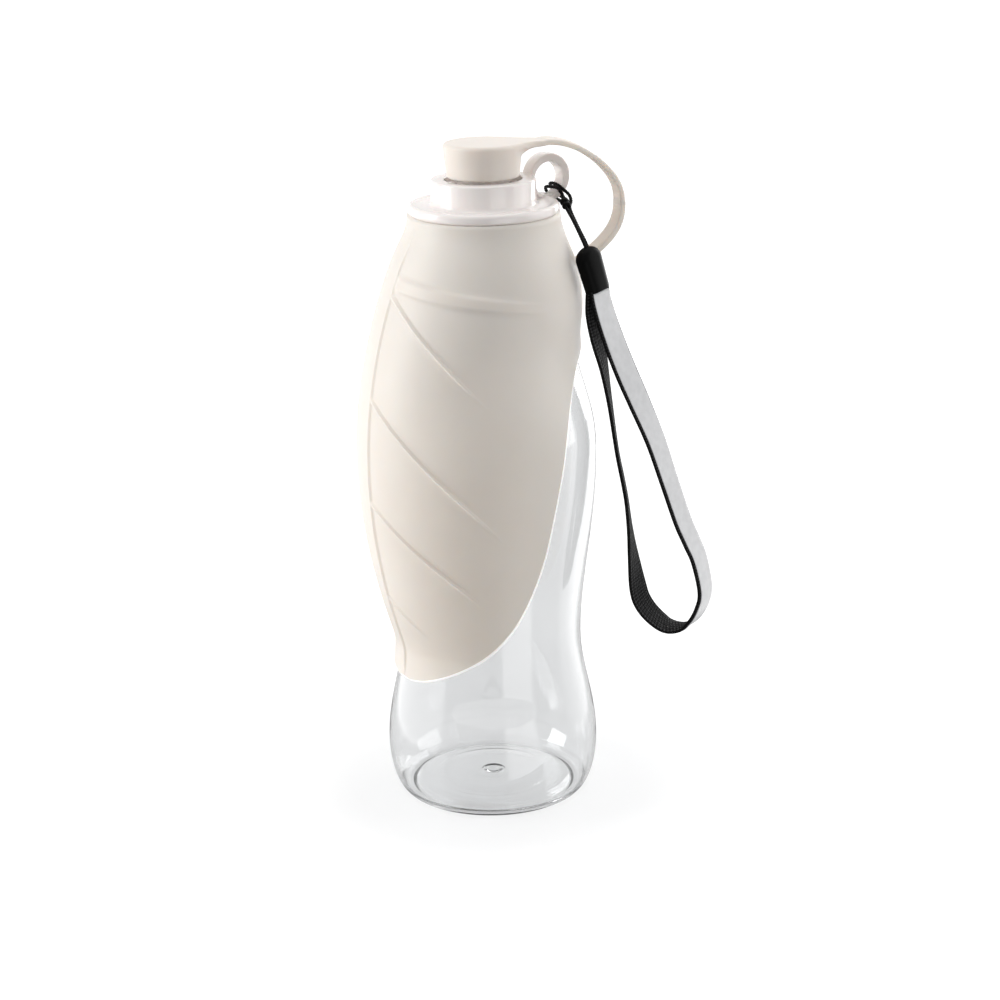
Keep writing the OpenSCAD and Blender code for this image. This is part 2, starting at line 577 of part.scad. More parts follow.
// The cord-end bead, from its rounded top to its flat mouth
bead_top = [32.9, -9.0, 191.6];
bead_mouth = [36.9, -9.0, 177.2];
bead_w_top = 10.6;
bead_w_mouth = 9.6;
bead_t = 6.2;
bead_turn = 50;                                          // direction of its width round from +X
module lanyard_bead() {
    axis = bead_mouth - bead_top;
    len_bead = norm(axis);
    color(black)
    translate(bead_top) toward(unit(axis)) rotate([0, 0, bead_turn])
    hull() {
        translate([0, 0, 2.9]) scale([bead_w_top / bead_t, 1, 1]) sphere(d = bead_t, $fn = 28);
        translate([0, 0, len_bead - 0.6]) linear_extrude(0.6)
            scale([bead_w_mouth / (bead_t - 0.4), 1]) circle(d = bead_t - 0.4, $fn = 28);
    }
}

module lanyard_webbing() {
    pts = smooth_route(webbing_route, 0, len(webbing_route) - 1, 58);
    color(black)
    band([for (p = pts) place(p)], [for (p = pts) width_dir(p[3])], webbing_w, webbing_t);
}

module reflective_tape() {
    pts = smooth_route(webbing_route, 0.9, tape_last, 30);
    color([0.80, 0.80, 0.79])
    band([for (p = pts) place(p)], [for (p = pts) width_dir(p[3])], tape_w, tape_t,
         (webbing_t + tape_t) / 2);
}

bottle();
leaf_trough();
cap();
cap_gasket();
stopper();
stopper_strap();
lanyard_cord();
lanyard_crimp();
lanyard_bead();
lanyard_webbing();
reflective_tape();
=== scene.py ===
# %% [markdown]
# # A dog's travel water bottle
# A clear bottle sits inside a soft leaf that folds out into a drinking trough. A screw cap with a
# spout, a stopper on a strap and a wrist lanyard complete it. The solids come from the CAD frame,
# and this lesson dresses them: finer surfaces, moulded fillets, threads, weave and materials.

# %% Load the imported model
from math import copysign, cos, hypot, pi, radians, sin, sqrt, tan

import bmesh
import bpy
import numpy as np
from mathutils import Matrix, Vector


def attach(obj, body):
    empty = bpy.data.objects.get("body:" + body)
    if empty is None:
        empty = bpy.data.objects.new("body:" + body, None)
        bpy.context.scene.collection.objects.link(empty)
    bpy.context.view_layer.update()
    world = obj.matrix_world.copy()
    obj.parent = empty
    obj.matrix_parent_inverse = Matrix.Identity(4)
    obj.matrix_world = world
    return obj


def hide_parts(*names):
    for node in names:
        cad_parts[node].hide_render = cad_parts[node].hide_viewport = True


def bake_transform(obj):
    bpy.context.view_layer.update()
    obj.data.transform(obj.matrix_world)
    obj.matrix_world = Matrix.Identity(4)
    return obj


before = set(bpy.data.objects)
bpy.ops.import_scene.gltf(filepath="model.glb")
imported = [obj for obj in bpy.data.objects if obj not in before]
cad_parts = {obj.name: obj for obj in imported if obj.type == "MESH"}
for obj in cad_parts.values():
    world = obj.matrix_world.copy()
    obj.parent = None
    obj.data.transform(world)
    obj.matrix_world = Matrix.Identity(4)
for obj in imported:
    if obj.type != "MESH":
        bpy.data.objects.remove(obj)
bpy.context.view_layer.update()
scene = bpy.context.scene
MM = 0.001
print("CAD nodes:", sorted(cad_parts))

# %% [markdown]
# ## The camera
# The photograph was taken from the front, a little above the bottle's middle, with a long lens.
# A camera can be placed by pointing it at a target, or by its own axes. The axes are written out
# here, because they also hold the slight tilt that leans the bottle to the left in the frame.

# %% Place the camera
CAMERA_AT = Vector((3.82, -781.1, 346.1)) * MM
PITCH_DOWN = radians(17.28)
ROLL = radians(-0.94)
FOCAL_PIXELS = 2407.7
FRAME_PIXELS = 1000
SENSOR_MM = 36.0

ahead = Vector((0, cos(PITCH_DOWN), -sin(PITCH_DOWN)))
level_right = Vector((1, 0, 0))
level_up = level_right.cross(ahead)
right = cos(ROLL) * level_right + sin(ROLL) * level_up
up = -sin(ROLL) * level_right + cos(ROLL) * level_up
camera_data = bpy.data.cameras.new("camera")
camera_data.sensor_width = SENSOR_MM
camera_data.lens = FOCAL_PIXELS / FRAME_PIXELS * SENSOR_MM
camera = bpy.data.objects.new("camera", camera_data)
camera.matrix_world = (Matrix.Translation(CAMERA_AT)
                       @ Matrix((right, up, -ahead)).transposed().to_4x4())
scene.collection.objects.link(camera)
scene.camera = camera
print("lens:", round(camera_data.lens, 1), "mm")

# %% [markdown]
# ## Helpers that make meshes
# Nearly every piece here is turned on an axis or swept along a path. Blender has the Screw and
# Curve tools for both. Plain lists of points are used instead, because then each ring, rib and
# rounded edge lies exactly where a number says. Sizes are in millimetres, and become metres here.


# %% Make an object from points and faces
def make_piece(name, points, faces, material, smooth=True, weld=True):
    mesh = bpy.data.meshes.new(name)
    mesh.from_pydata([Vector(p) * MM for p in points], [], faces)
    build = bmesh.new()
    build.from_mesh(mesh)
    if weld:
        bmesh.ops.remove_doubles(build, verts=build.verts, dist=2e-6)
        bmesh.ops.dissolve_degenerate(build, edges=build.edges, dist=1e-7)
    bmesh.ops.recalc_face_normals(build, faces=build.faces)
    for face in build.faces:
        face.smooth = smooth
    build.to_mesh(mesh)
    build.free()
    mesh.materials.append(material)
    piece = bpy.data.objects.new(name, mesh)
    scene.collection.objects.link(piece)
    return piece


# %% Turn a profile round an axis
def neighbours(count):
    """Each index round a ring, with the next one."""
    return [(i, (i + 1) % count) for i in range(count)]


def turned(profile, sides):
    """Points and faces of a closed profile of (radius, height) turned round Z."""
    count = len(profile)
    points = [(r * cos(a), r * sin(a), z)
              for a in np.arange(sides) * 2 * pi / sides for r, z in profile]
    faces = [(s * count + i, t * count + i, t * count + j, s * count + j)
             for s, t in neighbours(sides) for i, j in neighbours(count)]
    return points, faces


def arc(center_r, center_z, radius, start, end, steps=8):
    """Points of an arc, with its angles in degrees from the outward direction."""
    angles = np.radians(np.linspace(start, end, steps + 1))
    return [(center_r + radius * cos(a), center_z + radius * sin(a)) for a in angles]


# %% Sweep a section along a path
def along(points, u):
    """A point of the smooth curve through a list of points, at index u."""
    points = np.asarray(points, float)
    last = len(points) - 1
    i = min(int(u), last - 1)
    t = u - i
    a, b, c, d = points[max(i - 1, 0)], points[i], points[i + 1], points[min(i + 2, last)]
    return 0.5 * (2 * b + (c - a) * t + (2 * a - 5 * b + 4 * c - d) * t * t
                  + (3 * b - a - 3 * c + d) * t ** 3)


def even_route(route, first, last, spacing):
    """Points of the smooth curve at an even spacing, and the length walked to each."""
    dense = np.array([along(route, u) for u in np.linspace(first, last, 40 * len(route) + 1)])
    steps = np.linalg.norm(np.diff(dense[:, :3], axis=0), axis=1)
    length = np.concatenate([[0], np.cumsum(steps)])
    walked = np.linspace(0, length[-1], max(2, round(length[-1] / spacing)) + 1)
    columns = [np.interp(walked, length, dense[:, k]) for k in range(dense.shape[1])]
    return np.stack(columns, 1), walked


def unit(vector):
    return vector / np.linalg.norm(vector)


def headings(points):
    """The direction of the path at each of its points."""
    steps = np.gradient(points, axis=0)
    return steps / np.linalg.norm(steps, axis=1, keepdims=True)


def ring_faces(rings, count):
    """The two ends, and the faces between rings of points."""
    faces = [tuple(range(count)), tuple((rings - 1) * count + j for j in reversed(range(count)))]
    return faces + [(i * count + j, (i + 1) * count + j, (i + 1) * count + k, i * count + k)
                    for i in range(rings - 1) for j, k in neighbours(count)]


def swept(points, sides, faces_up, section):
    """Rings of section (across, out of the face) on each point, closed by two ends."""
    verts = [points[i] + sides[i] * x + faces_up[i] * y
             for i in range(len(points)) for x, y in section(i)]
    return verts, ring_faces(len(points), len(section(0)))


# %% [markdown]
# ## Materials
# Each real finish gets one material. An image could carry the detail, but a texture made by nodes
# has no edge and works at any distance. Noise gives the slight clouding of the colour and the
# grain of the mould, and a Bump node turns it into light and shade.


# %% Start a material
def new_material(name, color, roughness, **settings):
    material = bpy.data.materials.new(name)
    material.use_nodes = True
    tree = material.node_tree
    shader = tree.nodes["Principled BSDF"]
    shader.inputs["Base Color"].default_value = (*color, 1)
    shader.inputs["Roughness"].default_value = roughness
    for socket, value in settings.items():
        shader.inputs[socket.replace("_", " ")].default_value = value
    return material, tree, shader


def add_node(tree, kind, **values):
    """A node with its settings and sockets: a number or colour is a value, a socket a link."""
    node = tree.nodes.new("ShaderNode" + kind)
    for key, value in values.items():
        linked = isinstance(value, bpy.types.NodeSocket)
        if not linked and hasattr(node, key):
            setattr(node, key, value)
            continue
        numbered = key[0] == "i" and key[1:].isdigit()
        socket = node.inputs[int(key[1:]) if numbered else key.replace("_", " ")]
        if linked:
            tree.links.new(value, socket)
        else:
            socket.default_value = value
    return node


def math_node(tree, operation, a, b=0.0, c=0.0):
    """The result of a Math node on sockets or numbers."""
    return add_node(tree, "Math", operation=operation, i0=a, i1=b, i2=c).outputs[0]


# %% Clouding and grain
def two_tones(tree, shader, factor, stops):
    """Colours the shader by a factor, between two stops of (position, colour)."""
    ramp = add_node(tree, "ValToRGB", Fac=factor)
    for element, (position, color) in zip(ramp.color_ramp.elements, stops):
        element.position, element.color = position, (*color, 1)
    tree.links.new(ramp.outputs["Color"], shader.inputs["Base Color"])


def cloud_color(tree, shader, dark, light, scale):
    """Lets the colour drift slowly between two tones."""
    where = add_node(tree, "TexCoord")
    noise = add_node(tree, "TexNoise", Vector=where.outputs["Object"], Scale=scale,
                     Detail=3.0)
    two_tones(tree, shader, noise.outputs["Fac"], ((0.35, dark), (0.65, light)))
    return where


def grain_bump(tree, shader, where, scale, depth_mm):
    """Fine grain, with its depth in millimetres."""
    noise = add_node(tree, "TexNoise", Vector=where.outputs["Object"], Scale=scale,
                     Detail=2.0)
    bump = add_node(tree, "Bump", Height=noise.outputs["Fac"], Distance=depth_mm * MM)
    tree.links.new(bump.outputs["Normal"], shader.inputs["Normal"])
    return noise


def moulded(name, color, drift, clouds, grain, grain_mm, roughness, spread=None, **settings):
    """A moulded finish: its colour drifts a little both ways, and its grain is a bump."""
    material, tree, shader = new_material(name, color, roughness, **settings)
    where = cloud_color(tree, shader, [c - drift for c in color], [c + drift for c in color],
                        clouds)
    noise = grain_bump(tree, shader, where, grain, grain_mm)
    if spread:
        rough = add_node(tree, "MapRange", Value=noise.outputs["Fac"],
                         To_Min=spread[0], To_Max=spread[1])
        tree.links.new(rough.outputs["Result"], shader.inputs["Roughness"])
    return material, shader


# %% [markdown]
# ### Silicone and hard plastic
# Silicone is matte, a little waxy, and lets some light in, so it gets subsurface light and a soft
# sheen. The cap is hard and glossy: the same recipe with a low roughness and a finer grain.

# %% Silicone of the leaf, the stopper and the strap
silicone, shader = moulded(
    "cream_silicone", (0.785, 0.72, 0.655), 0.01, 45, 2600, 0.02, 0.46, (0.42, 0.52),
    Subsurface_Weight=0.3, Subsurface_Scale=0.005, Sheen_Weight=0.12, Sheen_Roughness=0.5, IOR=1.41)
shader.inputs["Subsurface Radius"].default_value = (1.0, 0.72, 0.5)

# %% The leaf's free edge: polished, with a paler colour and a slight glow that paint a highlight along the rim
edge_painted_highlight, _ = moulded(
    "polished_edge_painted_highlight", (0.97, 0.95, 0.92), 0.01, 60, 900, 0.01, 0.3,
    Subsurface_Weight=0.3, Subsurface_Scale=0.003, Coat_Weight=1.0, Coat_Roughness=0.12, IOR=1.41,
    Emission_Strength=0.28)

# %% Plastic of the cap, seal ring and black plastic
cap_plastic, _ = moulded(
    "warm_white_plastic", (0.89, 0.84, 0.81), 0.01, 60, 420, 0.01, 0.16, (0.13, 0.2),
    Subsurface_Weight=0.06, Subsurface_Scale=0.002, IOR=1.49)
seal_silicone, _ = moulded("seal_silicone", (0.6, 0.57, 0.5), 0.02, 90, 1800, 0.02, 0.5)
black_plastic, _ = moulded(
    "black_plastic", (0.0045, 0.0045, 0.0045), 0.0015, 120, 1500, 0.02, 0.4, (0.28, 0.42),
    Specular_IOR_Level=0.03)

# %% [markdown]
# ### Clear plastic
# A clear bottle is two skins with plastic between them, so light bends in and out four times on
# its way through. Principled glass does that, and a little absorption darkens the rim, where one
# looks along the wall. Lamps can't find their way through bent glass, so for shadow rays the
# shader becomes plain transparent, and the bottle casts only a light shadow.

# %% Clear bottle plastic
clear_plastic, tree, shader = new_material(
    "clear_plastic", (0.97, 0.975, 0.978), 0.02, Transmission_Weight=1.0, IOR=1.5)
where = add_node(tree, "TexCoord")
grain_bump(tree, shader, where, 38, 0.12)
light_path = add_node(tree, "LightPath")
see_through = add_node(tree, "BsdfTransparent", Color=(0.86, 0.865, 0.87, 1))
shadow_mix = add_node(tree, "MixShader", i0=light_path.outputs["Is Shadow Ray"],
                      i1=shader.outputs["BSDF"], i2=see_through.outputs["BSDF"])
tree.links.new(shadow_mix.outputs["Shader"], tree.nodes["Material Output"].inputs["Surface"])
depth = add_node(tree, "VolumeAbsorption", Color=(0.3, 0.31, 0.32, 1), Density=45.0)
tree.links.new(depth.outputs["Volume"], tree.nodes["Material Output"].inputs["Volume"])

# %% [markdown]
# ### Weave and braid
# The webbing and the cord are woven from thin yarn. Their meshes carry UVs in millimetres, across
# and along, so two sine waves can lay the yarn: where one dips, the other rises. Every other row
# is shifted, which gives the small dots in slanting rows that the real webbing shows. The crests
# of the domes are painted paler, a painted glint on each dot.


# %% Yarn pattern
def yarn(tree, shader, across_mm, along_mm, depth_mm):
    """A checker of small domes from two sine waves over UVs in millimetres."""
    uv = add_node(tree, "UVMap", uv_map="UVMap")
    parts = add_node(tree, "SeparateXYZ", Vector=uv.outputs["UV"])
    waves = []
    for socket, size in (("X", across_mm), ("Y", along_mm)):
        angle = math_node(tree, "MULTIPLY", parts.outputs[socket], pi / size)
        waves.append(math_node(tree, "SINE", angle))
    dome = math_node(tree, "ABSOLUTE", math_node(tree, "MULTIPLY", *waves))
    bump = add_node(tree, "Bump", Height=dome, Distance=depth_mm * MM)
    tree.links.new(bump.outputs["Normal"], shader.inputs["Normal"])
    return dome


def woven_black(name, across_mm, along_mm, depth_mm, crest):
    """Black yarn, with the crests of its domes painted a little paler: a painted glint."""
    material, tree, shader = new_material(name, (0.006, 0.006, 0.006), 0.6, Specular_IOR_Level=0.08)
    dome = yarn(tree, shader, across_mm, along_mm, depth_mm)
    # painted glint: the crests of the domes get the paler colour
    two_tones(tree, shader, dome, ((0.45, (0.001, 0.001, 0.001)), (1.0, crest)))
    return material


# %% Webbing, cord and reflective tape
# the last colour of each is the painted glint on the crests of the yarn
webbing_black = woven_black("woven_black", 0.7, 1.1, 0.2, (0.06, 0.06, 0.062))
cord_black = woven_black("braided_black", 0.52, 0.55, 0.1, (0.012, 0.012, 0.013))
tape_silver, tree, shader = new_material(
    "reflective_silver", (0.8, 0.8, 0.8), 0.42, Coat_Weight=0.15)
yarn(tree, shader, 0.5, 0.5, 0.012)
cloud_color(tree, shader, (0.58, 0.58, 0.585), (0.63, 0.63, 0.635), 420)
print("materials:", [m.name for m in bpy.data.materials])

# %% [markdown]
# ## The lanyard's thin cord
# A cord is a fixed length of something limp. This one is tied to the cap's ring with a lark's head:
# both strands pass over the ring's lower band into its eye, and the bight comes back under the
# band to the knot. Its two ends go down side by side into the bead.

# %% Route of the cord
cord_route = [
    [33.8, -8.9, 190.6], [33.2, -8.0, 192.6], [30.3, -0.4, 197.8],   # up from the bead
    [28.5, 6.6, 201.5], [29.0, 10.4, 203.3], [28.4, 12.6, 205.0], [26.4, 12.6, 206.9],
    [24.1, 15.4, 208.2], [22.3, 18.5, 207.9], [22.9, 20.3, 206.0],   # through the eye, and behind
    [24.9, 19.6, 204.0], [27.2, 15.4, 203.2], [28.0, 11.9, 202.7],   # under the band to the knot
    [26.6, 10.9, 202.4], [25.4, 14.3, 202.8], [23.3, 18.5, 203.3],   # and back under the band
    [21.2, 19.0, 205.1], [20.8, 17.3, 206.9], [22.5, 14.9, 207.4],
    [24.6, 12.4, 207.4], [25.7, 11.5, 206.0], [26.4, 10.6, 204.8],   # through the eye again
    [26.5, 7.4, 203.2], [29.5, -0.7, 198.5], [32.4, -8.4, 193.0], [33.2, -9.4, 190.9]]
CORD_WIDE, CORD_LAY = 1.2, 2.4
PLIES, PLY_DEPTH = 2, 0.16  # the groove between the plies, as a share of the radius


# %% A braided tube with UVs in millimetres
def write_uvs(piece, uv_of_vertex):
    layer = piece.data.uv_layers.new(name="UVMap")
    for loop in piece.data.loops:
        layer.data[loop.index].uv = uv_of_vertex[loop.vertex_index]


def braided_tube(name, route, wide, material, spacing=0.25, around=16):
    """A tube whose rings are carried along the path, so that it never twists by itself."""
    points, walked = even_route(route, 0, len(route) - 1, spacing)
    ahead_of = headings(points)
    side = np.cross(ahead_of[0], [0.3, 0.2, 1.0])
    sides = []
    for heading in ahead_of:
        side = unit(side - side.dot(heading) * heading)
        sides.append(side)
    sides = np.array(sides)
    angles = np.arange(around) * 2 * pi / around

    def section(i):
        twist = 2 * pi * walked[i] / CORD_LAY
        rib = 1 - PLY_DEPTH * (0.5 - 0.5 * np.cos(PLIES * (angles - twist)))
        return [(wide / 2 * k * cos(a), wide / 2 * k * sin(a))
                for a, k in zip(angles, rib)]

    verts, faces = swept(points, sides, np.cross(ahead_of, sides), section)
    piece = make_piece(name, verts, faces, material, weld=False)
    girth = pi * wide
    write_uvs(piece, [(girth * (v % around) / around, walked[v // around])
                      for v in range(len(verts))])
    return piece, points, walked[-1]


cord, cord_points, cord_length = braided_tube("thin_cord", cord_route, CORD_WIDE, cord_black)
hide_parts("lanyard_cord")
print("cord length:", round(cord_length, 1), "mm")

# %% [markdown]
# ## The webbing and its reflective front
# The wrist loop is flat webbing. A flat band needs a direction for its width at every point of
# the route, or it would twist at random. Those directions turn slowly from the front run, which
# faces the camera, to the back run, which shows its edge.

# %% Route of the webbing: x, y, z and the turn of its width, in degrees
webbing_route = [
    [37.3, -9.5, 178.0, 40], [38.0, -9.5, 173.5, 40], [39.8, -9.4, 167.0, 42],
    [43.2, -9.2, 157.0, 45],
    [46.5, -9.0, 148.5, 47], [50.1, -9.0, 140.0, 46], [55.8, -9.0, 126.0, 40],
    [60.4, -9.0, 112.0, 37], [65.0, -9.0, 98.0, 36], [68.1, -9.0, 90.5, 35],
    [70.9, -9.0, 83.5, 33], [72.9, -9.0, 73.0, 30], [71.8, -9.0, 67.0, 30],
    [69.2, -9.0, 62.4, 30], [65.4, -9.0, 59.8, 30], [60.4, -9.0, 60.2, 32],
    [55.6, -9.0, 63.8, 34], [51.8, -9.0, 69.0, 35], [50.0, -9.0, 75.0, 33],
    [48.4, -9.0, 86.0, 18], [47.4, -9.0, 95.0, 8], [46.3, -9.0, 105.0, 4],
    [45.0, -9.0, 112.5, 3], [43.1, -9.0, 122.5, 3], [40.8, -8.9, 139.0, 6],
    [38.9, -8.7, 151.0, 14], [37.0, -8.6, 161.0, 28], [36.1, -8.5, 169.0, 38],
    [36.1, -8.5, 173.5, 40], [36.3, -8.4, 178.0, 40]]
WEBBING_WIDE, WEBBING_THICK = 10.0, 1.2
TAPE_WIDE, TAPE_THICK = 8.4, 0.3
TAPE_FIRST, TAPE_LAST = 0.3, 14  # places on the route, counted in its points


# %% A flat band with UVs in millimetres
def band_frames(rows):
    """Middle, width direction and face direction of a band from rows of x, y, z and turn."""
    points = rows[:, :3]
    ahead_of = headings(points)
    turn = np.radians(rows[:, 3])
    wide = np.stack([np.sin(turn), np.cos(turn), 0 * turn], 1)
    wide -= np.sum(wide * ahead_of, 1)[:, None] * ahead_of
    wide /= np.linalg.norm(wide, axis=1, keepdims=True)
    return points, wide, np.cross(ahead_of, wide)


def flat_band(name, route, first, last, wide, thick, material, lift=0.0, ribs=0, rib_mm=0.0,
              spacing=0.8, across=24):
    """A band with rounded edges, and ribs along its length where asked."""
    rows, walked = even_route(route, first, last, spacing)
    points, wide_dir, face_dir = band_frames(rows)
    points = points + face_dir * lift
    edge = thick / 2
    xs = np.linspace(-wide / 2 + edge, wide / 2 - edge, across + 1)
    waves = 0.5 + 0.5 * np.cos(2 * pi * ribs * (xs / (wide - 2 * edge) + 0.5))
    half = [(x, edge + h) for x, h in zip(xs, rib_mm * waves - rib_mm)]
    half += [(xs[-1] + edge * cos(a), edge * sin(a))
             for a in np.radians(np.linspace(90, -90, 7))[1:-1]]
    loop = half + [(-x, -y) for x, y in half]
    verts, faces = swept(points, wide_dir, face_dir, lambda i: loop)
    piece = make_piece(name, verts, faces, material, weld=False)
    write_uvs(piece, [(loop[v % len(loop)][0], walked[v // len(loop)]) for v in range(len(verts))])
    return piece, points, walked[-1]


webbing, webbing_points, webbing_length = flat_band(
    "wrist_webbing", webbing_route, 0, len(webbing_route) - 1, WEBBING_WIDE, WEBBING_THICK,
    webbing_black, ribs=8, rib_mm=0.12, spacing=0.5, across=48)
tape, _, _ = flat_band(
    "reflective_tape_front", webbing_route, TAPE_FIRST, TAPE_LAST, TAPE_WIDE, TAPE_THICK,
    tape_silver, lift=(WEBBING_THICK + TAPE_THICK) / 2, across=12)
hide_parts("lanyard_webbing")
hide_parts("reflective_tape")
print("webbing length:", round(webbing_length, 1), "mm")

# %% [markdown]
# ## The bead and the crimp
# The bead is a flat black cap with a rounded top, like the end of a zip pull. A scaled sphere
# would be too round in the side, so its sections are superellipses: nearly flat faces with soft
# corners, that grow out of the top in a quarter circle. The crimp is made in the same way.

# %% A solid from superellipse sections
BEAD_TOP, BEAD_MOUTH = np.array([32.9, -9.0, 191.6]), np.array([36.9, -9.0, 177.2])
BEAD_WIDE_TOP, BEAD_WIDE_MOUTH, BEAD_THICK, BEAD_TAPER = 10.6, 9.6, 6.2, 0.4
BEAD_DOME, BEAD_LIP = 4.2, 0.5
BEAD_TURN = radians(50)
CRIMP_AT, CRIMP_DIR = np.array([27.0, 7.5, 202.9]), np.array([3.2, -8.0, -4.8])
CRIMP_HALF_WIDE, CRIMP_HALF_THICK = 1.35, 1.15


def superellipse(half_x, half_y, power, count):
    angles = np.arange(count) * 2 * pi / count
    return [(half_x * np.sign(c) * abs(c) ** (2 / power),
             half_y * np.sign(s) * abs(s) ** (2 / power))
            for c, s in zip(np.cos(angles), np.sin(angles))]


def lofted(name, start, axis, wide_dir, levels, power, count):
    """Black sections of (distance, half width, half thickness) along an axis."""
    axis = unit(axis)
    wide_dir = unit(wide_dir - wide_dir.dot(axis) * axis)
    thick_dir = np.cross(axis, wide_dir)
    verts = [start + axis * distance + wide_dir * x + thick_dir * y
             for distance, half_w, half_t in levels
             for x, y in superellipse(half_w, half_t, power, count)]
    return make_piece(name, verts, ring_faces(len(levels), count), black_plastic, weld=False)


# %% Bead at the end of the cord
def bead_levels():
    length = np.linalg.norm(BEAD_MOUTH - BEAD_TOP)
    lip_at = length - BEAD_LIP
    # distance down the axis, and share of the full section
    shares = [(BEAD_DOME * (1 - cos(a)), sin(a))
              for a in np.linspace(0.12, pi / 2, 12)]
    shares += [(d, 1) for d in np.linspace(BEAD_DOME + 1, lip_at, 8)]
    shares += [(lip_at + BEAD_LIP * sin(a), 1 - 0.06 * (1 - cos(a)))
               for a in np.linspace(0.3, pi / 2, 4)]
    shares += [(length - 0.1, 0.78), (length - 1.6, 0.74)]  # the hollow mouth
    levels = []
    for distance, share in shares:
        t = distance / length
        wide = BEAD_WIDE_TOP + (BEAD_WIDE_MOUTH - BEAD_WIDE_TOP) * t
        levels.append((distance, wide / 2 * share, (BEAD_THICK - BEAD_TAPER * t) / 2 * share))
    return levels


bead = lofted("cord_bead", BEAD_TOP, BEAD_MOUTH - BEAD_TOP,
              np.array([cos(BEAD_TURN), sin(BEAD_TURN), 0]), bead_levels(), 2.6, 48)
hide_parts("lanyard_bead")

# %% Crimp that holds the two strands together
crimp_shares = [(-1.8, 0.72), (-1.7, 0.88), (-1.45, 1.0), (-0.5, 1.0), (-0.3, 0.86),
                (0.3, 0.86), (0.5, 1.0), (1.45, 1.0), (1.7, 0.88), (1.8, 0.72)]
crimp = lofted("strand_crimp", CRIMP_AT, CRIMP_DIR, np.cross(CRIMP_DIR, [0, 0, 1.0]),
               [(d, CRIMP_HALF_WIDE * k, CRIMP_HALF_THICK * k) for d, k in crimp_shares], 3.2, 24)
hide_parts("lanyard_crimp")

# %% Attach the lanyard's pieces to its body
for piece in (webbing, tape, bead, crimp):
    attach(piece, "lanyard")
[tuple(p * MM) for p in cord_points[::4]]
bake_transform(cord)
[tuple(p * MM) for p in webbing_points[::6]]

# %% [markdown]
# ## The clear bottle
# A blow-moulded bottle is one thin skin, so its profile is written once for the outside and once,
# a wall's thickness inside it, for the inside. The profile is a chain of quarter ellipses and
# level-ended curves through the real widths: heel, waist, bulge, recess and shoulder.


# %% Curves of the bottle's profile
def ease(t):
    """A smooth step from 0 to 1 with level ends."""
    return (1 - cos(pi * min(max(t, 0.0), 1.0))) / 2


def ease_between(z, za, a, zb, b, skew=1.0):
    return a + (b - a) * ease(min(max((z - za) / (zb - za), 0.0), 1.0) ** skew)


def quarter(t):
    """The height of a quarter circle above t."""
    return sqrt(max(0.0, 1 - min(max(t, 0.0), 1.0) ** 2))


FOOT_R, FOOT_LAND, WALL = 29.5, 1.2, 1.0
NECK_Z, NECK_R, NECK_WALL = 195.5, 14.0, 2.1
LEAF_TOP_Z, FINISH_Z, SEAT_Z = 201.8, 207.8, 199.8
# height, radius and the curve's skew below it: base, waist, bulge, recess and shoulder
BODY = [(18.5, 36.15, 1), (57, 30.9, 1), (121, 36.6, 0.9), (161, 29.4, 1.15), (172, 30.2, 1)]
(BASE_Z, BASE_R, _), (SHOULDER_Z, SHOULDER_R, _) = BODY[0], BODY[-1]


def bottle_r(z):
    if z < BASE_Z:
        return FOOT_R + (BASE_R - FOOT_R) * quarter(1 - z / BASE_Z)
    for (za, a, _), (zb, b, skew) in zip(BODY, BODY[1:]):
        if z < zb:
            return ease_between(z, za, a, zb, b, skew)
    return NECK_R + (SHOULDER_R - NECK_R) * quarter((z - SHOULDER_Z) / (NECK_Z - SHOULDER_Z))


# %% Turn the bottle
NECK_RING_R = 16.8
# radius and height of the pushed-up base, from the gate mark in the middle out to the foot ring
PUSH_UP = [
    (0, 2.85), (1.7, 2.87), (2.3, 3.05), (2.7, 3.5), (3.2, 3.68), (3.7, 3.5), (4.2, 3.36),
    (6, 3.36), (10, 3.3), (14.7, 3.1), (18.5, 2.85), (19.1, 2.6), (19.8, 2.5), (22.5, 2.2),
    (24.6, 2.0), (25.4, 1.72), (26.4, 1.35), (27.3, 0.8), (27.9, 0.35)]
FLOOR_INSIDE = [
    (28.6, 1.75), (27.6, 1.5), (26.6, 2.2), (25.2, 2.9), (22.5, 3.3), (20.2, 3.5), (19.4, 3.62),
    (18.8, 3.95), (14.7, 4.15), (10, 4.35), (5, 4.45), (4.2, 4.5), (3.4, 4.78), (2.9, 4.78),
    (2.3, 4.45), (1.5, 4.25), (0, 4.2)]
FLOOR_INSIDE_Z = 2.6


def bottle_profile():
    quarter_turn = pi / 2
    heights = [BASE_Z * (1 - cos(a)) for a in np.linspace(0, quarter_turn, 25)]
    heights += list(np.arange(BASE_Z + 1, SHOULDER_Z, 1.0))
    heights += [SHOULDER_Z + (NECK_Z - SHOULDER_Z) * sin(a)
                for a in np.linspace(0, quarter_turn, 30)]
    land, bore = FOOT_R - FOOT_LAND, NECK_R - NECK_WALL
    foot_ring = [(land, 0.02), (land + 0.3, 0)]
    outside = [(bottle_r(z), z) for z in heights]
    finish = [(NECK_R, 197.2), (NECK_RING_R - 0.5, 197.9), (NECK_RING_R, 198.3),
              (NECK_RING_R, 199.5), (NECK_RING_R - 0.3, SEAT_Z), (NECK_R, SEAT_Z),
              (NECK_R, FINISH_Z - 0.5), (NECK_R - 0.15, FINISH_Z - 0.15),
              (NECK_R - 0.5, FINISH_Z), (bore + 0.4, FINISH_Z), (bore + 0.1, FINISH_Z - 0.1),
              (bore, FINISH_Z - 0.4), (bore, NECK_Z + 1)]
    inside = [(max(bottle_r(z) - WALL, bore), z) for z in reversed(heights) if z > FLOOR_INSIDE_Z]
    return PUSH_UP + foot_ring + outside + finish + inside + FLOOR_INSIDE


bottle_body = make_piece("clear_bottle", *turned(bottle_profile(), 160), clear_plastic)
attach(bottle_body, "bottle")
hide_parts("bottle")
print("bottle faces:", len(bottle_body.data.polygons))

